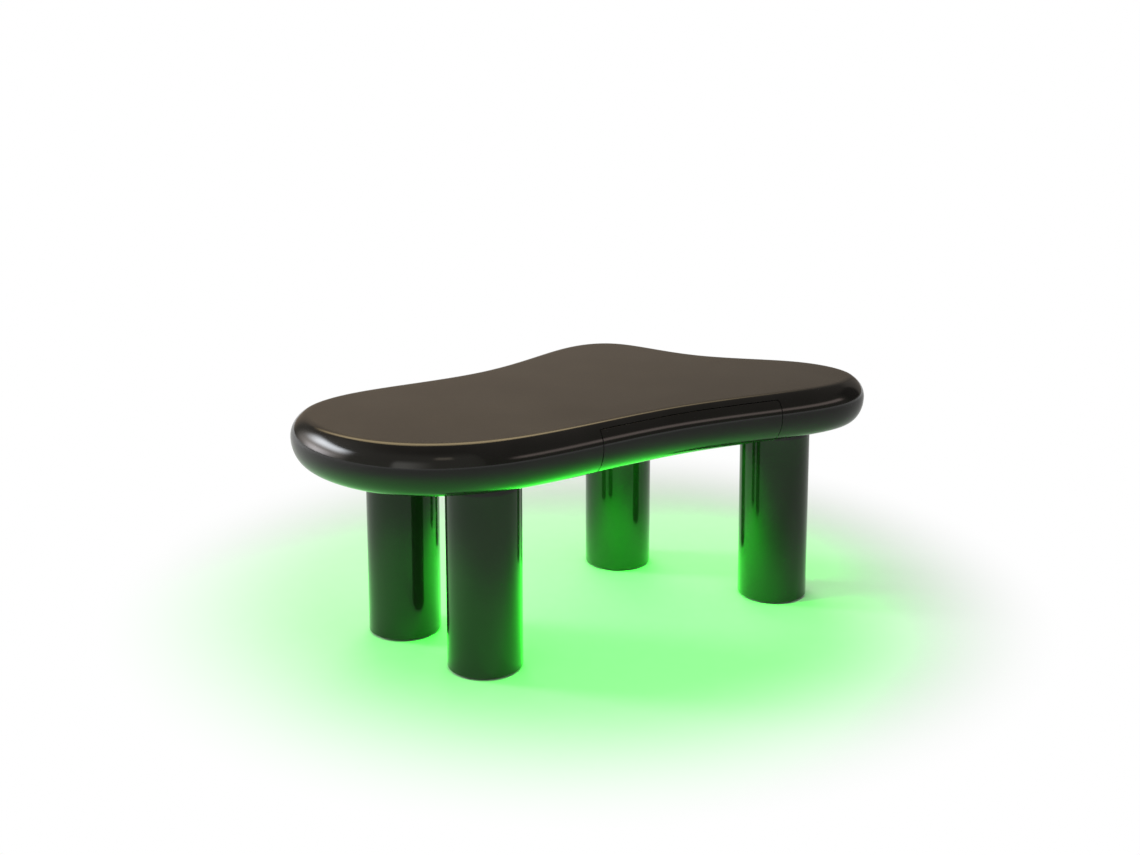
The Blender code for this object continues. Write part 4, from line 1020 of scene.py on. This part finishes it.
# %% Tube body and lens
TUBE_HALF, TUBE_WALL, TUBE_EASE, SLIP, BELLY_STEPS = 0.006, 0.0012, 0.001, 0.0003, 16
TUBE_TOP, STRIP_HIGH, STRIP_LOW, TUBE_SKIRT, LENS_LOW = 0.3154, 0.3137, 0.3130, 0.308, 0.3025
inner = TUBE_HALF - TUBE_WALL
body_outline = [(-TUBE_HALF + TUBE_EASE, TUBE_TOP), (-TUBE_HALF, TUBE_TOP - TUBE_EASE),
                (-TUBE_HALF, TUBE_SKIRT), (-inner, TUBE_SKIRT), (-inner, STRIP_HIGH + SLIP),
                (inner, STRIP_HIGH + SLIP), (inner, TUBE_SKIRT), (TUBE_HALF, TUBE_SKIRT),
                (TUBE_HALF, TUBE_TOP - TUBE_EASE), (TUBE_HALF - TUBE_EASE, TUBE_TOP)]
skirt, neck = TUBE_SKIRT - SLIP, inner - SLIP
belly = [(-TUBE_HALF * math.cos(angle), skirt - (skirt - LENS_LOW) * math.sin(angle))
         for angle in (math.pi * step / BELLY_STEPS for step in range(BELLY_STEPS + 1))]
lens_outline = [(neck, STRIP_LOW - SLIP), (-neck, STRIP_LOW - SLIP), (-neck, skirt), *belly, (neck, skirt)]
tube_mesh, _ = swept("tube_body", body_outline)
lens_mesh, lens_length = swept("tube_lens", lens_outline)
add_piece("tube_body", tube_mesh, white_silicone, "table", ("light_tube_body",))
add_piece("tube_lens", lens_mesh, lit_lens, "table", ("light_tube_lens",))
print("light tube", round(lens_length, 3), "m long, about", round(lens_length / CHIP_PITCH), "light chips")

# %% [markdown]
# ## The controller's small parts
# The moulded case keeps its solid. A raised ring round the button helps a finger find it, and the
# power inlet gets the bright pin and sleeve that a plug meets.

# %% Button ring, inlet pin and sleeve
RING_RADIUS, RING_THICK, RING_SUNK, RING_LEVEL = 0.0088, 0.0009, 0.0008, 0.0002
PIN_TIP, PIN_RADIUS, PIN_START, PIN_DISH, PIN_SHOULDER = 0.0007, 0.00115, -0.0022, -0.0019, -0.0026
SLEEVE_INNER, SLEEVE_OUTER, INLET_DEPTH, INLET_SET_BACK = 0.0027, 0.00295, -0.0095, 0.0006


def make_button_ring():
    low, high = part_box("power_button")
    centre = (low + high) / 2
    case_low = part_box("controller_case")[0].z
    rim = arc((RING_RADIUS, case_low + RING_LEVEL), RING_THICK, 0, -180, 8)
    mesh = turned("button_ring", [(RING_RADIUS, case_low + RING_SUNK), *rim], 64)
    mesh.transform(Matrix.Translation((centre.x, centre.y, 0)))
    return add_piece("button_ring", mesh, black_plastic, "table")


def make_inlet_metal():
    low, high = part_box("power_jack")
    centre = (low + high) / 2
    pin = turned("pin", [(0, PIN_START), (PIN_TIP, PIN_DISH), (PIN_RADIUS, PIN_SHOULDER),
                         (PIN_RADIUS, INLET_DEPTH), (0, INLET_DEPTH)], 24)
    sleeve = turned("sleeve", [(SLEEVE_INNER, 0.0), (SLEEVE_OUTER, 0.0), (SLEEVE_OUTER, INLET_DEPTH),
                               (SLEEVE_INNER, INLET_DEPTH)], 40)
    mesh = joined("inlet_pin_and_sleeve", [pin, sleeve])
    mesh.transform(Matrix.Translation((centre.x, high.y - INLET_SET_BACK, centre.z))
                   @ Matrix.Rotation(math.radians(-90), 4, "X"))
    return add_piece("inlet_pin_and_sleeve", mesh, nickel, "table")


small_parts = [make_button_ring(), make_inlet_metal()]
print("controller parts made:", [piece.name for piece in small_parts])

# %% [markdown]
# ## Finishes on the solids that stay
# The remaining solids have the right shape already. Each gets its finish, and where it is cut or
# folded from something real, slightly eased edges from a Bevel modifier.

# %% Dress the solids
EASED_ANGLE = 40
kept_finishes = {
    "drawer_side": (ply_side, 0.0), "slide_cheek": (ply_side, 0.0), "drawer_box_front": (ply_across, 0.0),
    "drawer_back": (ply_across, 0.0), "drawer_bottom": (ply_flat, 0.0003), "leg_block": (ply_flat, 0.0005),
    "slide_channel": (zinc_sheet, 0.0003), "slide_runner": (zinc_sheet, 0.0003),
    "light_clip": (zinc_sheet, 0.0003), "leg_bolt": (screw_zinc, 0.0), "leg_nut": (screw_zinc, 0.0002),
    "foot_disc": (black_plastic, 0.0005), "controller_case": (black_plastic, 0.0004),
    "power_button": (black_plastic, 0.0002), "power_jack": (black_plastic, 0.0002),
    "light_lead": (black_plastic, 0.0), "light_end_cap": (white_silicone, 0.0),
    "led_strip": (circuit_board, 0.0), "controller_board": (circuit_board, 0.0),
}
dressed, undressed = [], []
for name, item in sorted(nodes.items()):
    if item.hide_render:
        continue
    match = next((kind for kind in kept_finishes if name.startswith(kind)), None)
    if match is None:
        undressed.append(name)
        continue
    finish, eased = kept_finishes[match]
    if not item.material_slots:
        item.data.materials.append(finish)
    for material_slot in item.material_slots:
        material_slot.material = finish
    if eased:
        bevel = item.modifiers.new("eased edges", "BEVEL")
        bevel.width, bevel.segments, bevel.limit_method = eased, 2, "ANGLE"
        bevel.angle_limit = math.radians(EASED_ANGLE)
        bevel.harden_normals = True
    dressed.append(name)
print("solids dressed:", len(dressed), "left without a finish:", undressed)

# %% [markdown]
# ## The stage
# The table stands on a sheet of pale grey paper. Round the table the paper shows as it is, with
# the table's shadow and the pool of green light. Further out it fades to the plain white of the
# surround, as a lit paper sweep does. In gloss it fades much further out, so that the legs mirror
# paper with the green light on it and not a white sheet. The surround is the world, which is
# white to the camera and in reflections and weaker as light.

# %% Floor and world
FLOOR_HALF, FLOOR_DROP, DAYLIGHT = 14.0, 0.0002, 0.56
FADE, MIRRORED_FADE, FADE_MIDDLE = (0.44, 0.86), (1.5, 5.0), (0.070, 0.080, 0.0)


def rays(net):
    """Two masks: rays from the camera, and rays that show something in gloss or through glass."""
    kinds = net.add("LightPath")
    in_gloss = net.calculate("MAXIMUM", kinds["Is Glossy Ray"], kinds["Is Transmission Ray"])
    return kinds["Is Camera Ray"], in_gloss


paper = Finish("pale_paper", Roughness=0.9, Specular_IOR_Level=0.1)
fibres = paper.noise(paper.place(), 30.0, 4.0)
paper.set(Base_Color=paper.mix(fibres, (0.66, 0.66, 0.66, 1), (0.69, 0.69, 0.69, 1)))
from_middle = paper.vector("SUBTRACT", paper.place(), FADE_MIDDLE)[0]
outwards = paper.vector("LENGTH", from_middle)["Value"]
to_camera, to_gloss = rays(paper)
fade = paper.calculate("ADD", paper.times(paper.rescale(outwards, *FADE), to_camera),
                       paper.times(paper.rescale(outwards, *MIRRORED_FADE), to_gloss))
white = paper.add("Emission", {"Color": (1, 1, 1, 1), "Strength": 1.0})[0]
matt_paper = paper.tree.nodes["Principled BSDF"].outputs[0]
paper.show(paper.add("MixShader", {0: fade, 1: matt_paper, 2: white})[0])

bm = bmesh.new()
bmesh.ops.create_grid(bm, x_segments=8, y_segments=8, size=FLOOR_HALF)
floor = put("floor", mesh_from(bm, "floor"))
floor.location.z = -FLOOR_DROP
floor.data.materials.append(paper.material)

world = bpy.data.worlds.new("white_surround")
scene.world = world
world.use_nodes = True
surround = Net(world.node_tree)
background = surround.tree.nodes["Background"].inputs
background["Color"].default_value = (1, 1, 1, 1)
shown = surround.calculate("MAXIMUM", *rays(surround))
surround.link(surround.rescale(shown, 0.0, 1.0, DAYLIGHT, 1.0, smooth=False), background["Strength"])
print("floor and world made, floor fading over", FADE, "m, and in gloss over", MIRRORED_FADE, "m")

# %% [markdown]
# ## The lamps
# The lamps give light and are never seen, neither by the camera nor in gloss. A soft window low
# on the left, behind the table, throws the legs' shadows to the right, and a large warm box high
# behind softens them. The glow under the table comes from lamps with the shape of the light
# tube, one for each side of its loop, and one wide oval lamp that spreads the pool.


# %% Lamps
def add_lamp(name, place, aim, width, height, radiance, colour):
    """A soft rectangular lamp, as bright as the radiance says."""
    data = bpy.data.lights.new(name, "AREA")
    data.shape, data.size, data.size_y = "RECTANGLE", width, height
    data.energy, data.color = radiance * math.pi * width * height, colour
    lamp = put(name, data)
    lamp.location = place
    lamp.rotation_euler = (Vector(aim) - Vector(place)).to_track_quat("-Z", "Y").to_euler()
    lamp.visible_camera = False
    lamp.visible_glossy = False
    return lamp


GREEN, TUBE_RADIANCE, TUBE_SPREAD = (0.018, 1.0, 0.020), 180.0, 125
GLOW_LONG, GLOW_SHORT, GLOW_THICK, BELOW_LENS = 0.34, 0.16, 0.011, 0.0015
add_lamp("left_window", (-3.2, 2.9, 1.35), (0, 0, 0.2), 0.9, 0.95, 36.0, (0.98, 0.99, 1.0))
add_lamp("warm_box", (0.73, 1.67, 1.94), (0, 0, 0.4), 1.3, 1.6, 3.0, (1.0, 0.96, 0.90))
pool = add_lamp("glow_spread", (-0.20, -0.10, 0.300), (-0.20, -0.10, 0), 1.40, 0.95, 2.2, GREEN)
pool.data.shape = "ELLIPSE"
cx, cy = LOOP_CENTRE
glow_sides = {
    "glow_front": (cx, cy - LOOP_HALF_WIDTH, GLOW_LONG, GLOW_THICK),
    "glow_back": (cx, cy + LOOP_HALF_WIDTH, GLOW_LONG, GLOW_THICK),
    "glow_left": (cx - LOOP_HALF_LENGTH, cy, GLOW_THICK, GLOW_SHORT),
    "glow_right": (cx + LOOP_HALF_LENGTH, cy, GLOW_THICK, GLOW_SHORT),
}
for name, (x, y, long_x, long_y) in glow_sides.items():
    place = (x, y, LENS_LOW - BELOW_LENS)
    tube_lamp = add_lamp(name, place, (x, y, 0), long_x, long_y, TUBE_RADIANCE, GREEN)
    tube_lamp.data.spread = math.radians(TUBE_SPREAD)
print("lamps:", sorted(light.name for light in bpy.data.lights))

# %% [markdown]
# ## The room that the lacquer shows
# Black lacquer shows its surroundings and little else, so a product studio hangs cloth and lamps
# round the set for their reflections alone. Here they are painted on the inside of a large
# dome, which shows only in gloss and takes no light away. Each one is a soft patch between two
# compass turns and two rises above the floor, in degrees, where 0 is straight behind the table,
# 90 to its right and -90 to its left. The cloths cover one another: a pale one from the front
# round the left, grey and warm ones behind, and a black flag on the right that keeps the rim
# dark. The lit panels add up: the window on the left in a bright upper, a greyer lower and a wide
# faint part, a narrow one beyond the camera's left shoulder, a small one high in front, a warm
# box high behind, which draws the line along the crease, and a thin strip low in front, which
# draws the line along the middle of the rim.

# %% Dome of panels
DOME_RADIUS, DOME_MIDDLE, DOME_SIDES = 10.0, (0.0, 0.0, 0.37), 64


def dome_ring(rise):
    reach, height = DOME_RADIUS * math.cos(rise), DOME_RADIUS * math.sin(rise) + DOME_MIDDLE[2]
    turns = [2 * math.pi * step / DOME_SIDES for step in range(DOME_SIDES)]
    return [(reach * math.cos(turn), reach * math.sin(turn), height) for turn in turns]


dome_rings = [dome_ring(math.radians(rise)) for rise in range(-2, 88, 6)]
dome = put("dome", loft("dome", dome_rings, foot=False))
cloth = Finish("dome_cloth")
cloth.tree.nodes.remove(cloth.tree.nodes["Principled BSDF"])
from_table = cloth.vector("SUBTRACT", cloth.place(), DOME_MIDDLE)[0]
way = cloth.axes(cloth.vector("NORMALIZE", from_table)[0])
turn = cloth.calculate("DEGREES", cloth.calculate("ARCTAN2", way["X"], way["Y"]))
rise = cloth.calculate("DEGREES", cloth.calculate("ARCSINE", way["Z"]))


def patch(left, right, low, high):
    """1 inside a panel. Each edge is a pair: where the fade begins and where it ends."""
    sides = cloth.times(cloth.rescale(turn, *left), cloth.rescale(turn, right[1], right[0]))
    ends = cloth.times(cloth.rescale(rise, *low), cloth.rescale(rise, high[1], high[0]))
    return cloth.times(sides, ends)


# %% Cloths and lit panels
BARE_ROOM = (0.17, 0.155, 0.135, 1)
CLOTHS = (
    ((-190, -170), (-40, -15), (-10, -5), (40, 70), (0.41, 0.39, 0.345, 1)),
    ((60, 64), (84, 90), (-10, -5), (30, 40), (0.31, 0.28, 0.245, 1)),
    ((84, 92), (112, 122), (-1, 2), (30, 38), (0.055, 0.05, 0.045, 1)),
    ((-12, 0), (14, 80), (-10, -5), (26, 34), (0.395, 0.32, 0.25, 1)),
)
PANELS = (
    ((-79, -62), (-46, -22), (12, 27), (28, 36), (12.0, 12.7, 13.5, 1)),
    ((-72, -52), (-50, -32), (-14, -4), (4, 16), (5.0, 4.8, 5.0, 1)),
    ((-81, -66), (-44, -15), (-9, 10), (20, 34), (2.4, 2.2, 2.1, 1)),
    ((-150, -124), (-119, -114), (-20, -8), (14, 34), (1.2, 1.17, 1.12, 1)),
    ((-162, -158), (-150, -144), (33, 41), (43, 50), (1.2, 1.04, 0.8, 1)),
    ((-18, -8), (39, 53), (28, 39), (58, 78), (3.2, 2.5, 1.4, 1)),
    ((119, 127), (158, 168), (9, 15), (17, 24), (2.0, 1.62, 1.5, 1)),
)
room = BARE_ROOM
for *edges, tint in CLOTHS:
    room = cloth.mix(patch(*edges), room, tint)
for *edges, tint in PANELS:
    room = cloth.mix(patch(*edges), room, tint, "ADD")
cloth.show(cloth.add("Emission", {"Color": room, "Strength": 1.0})[0])
dome.data.materials.append(cloth.material)
for kind in ("camera", "diffuse", "transmission", "volume_scatter", "shadow"):
    setattr(dome, "visible_" + kind, False)
print("dome of radius", DOME_RADIUS, "m with", len(CLOTHS), "cloths and", len(PANELS), "lit panels")

# %% [markdown]
# ## Finish
# The view transform is plain, so a colour renders about as it is written.

# %% Finish
scene.view_settings.view_transform = "Standard"
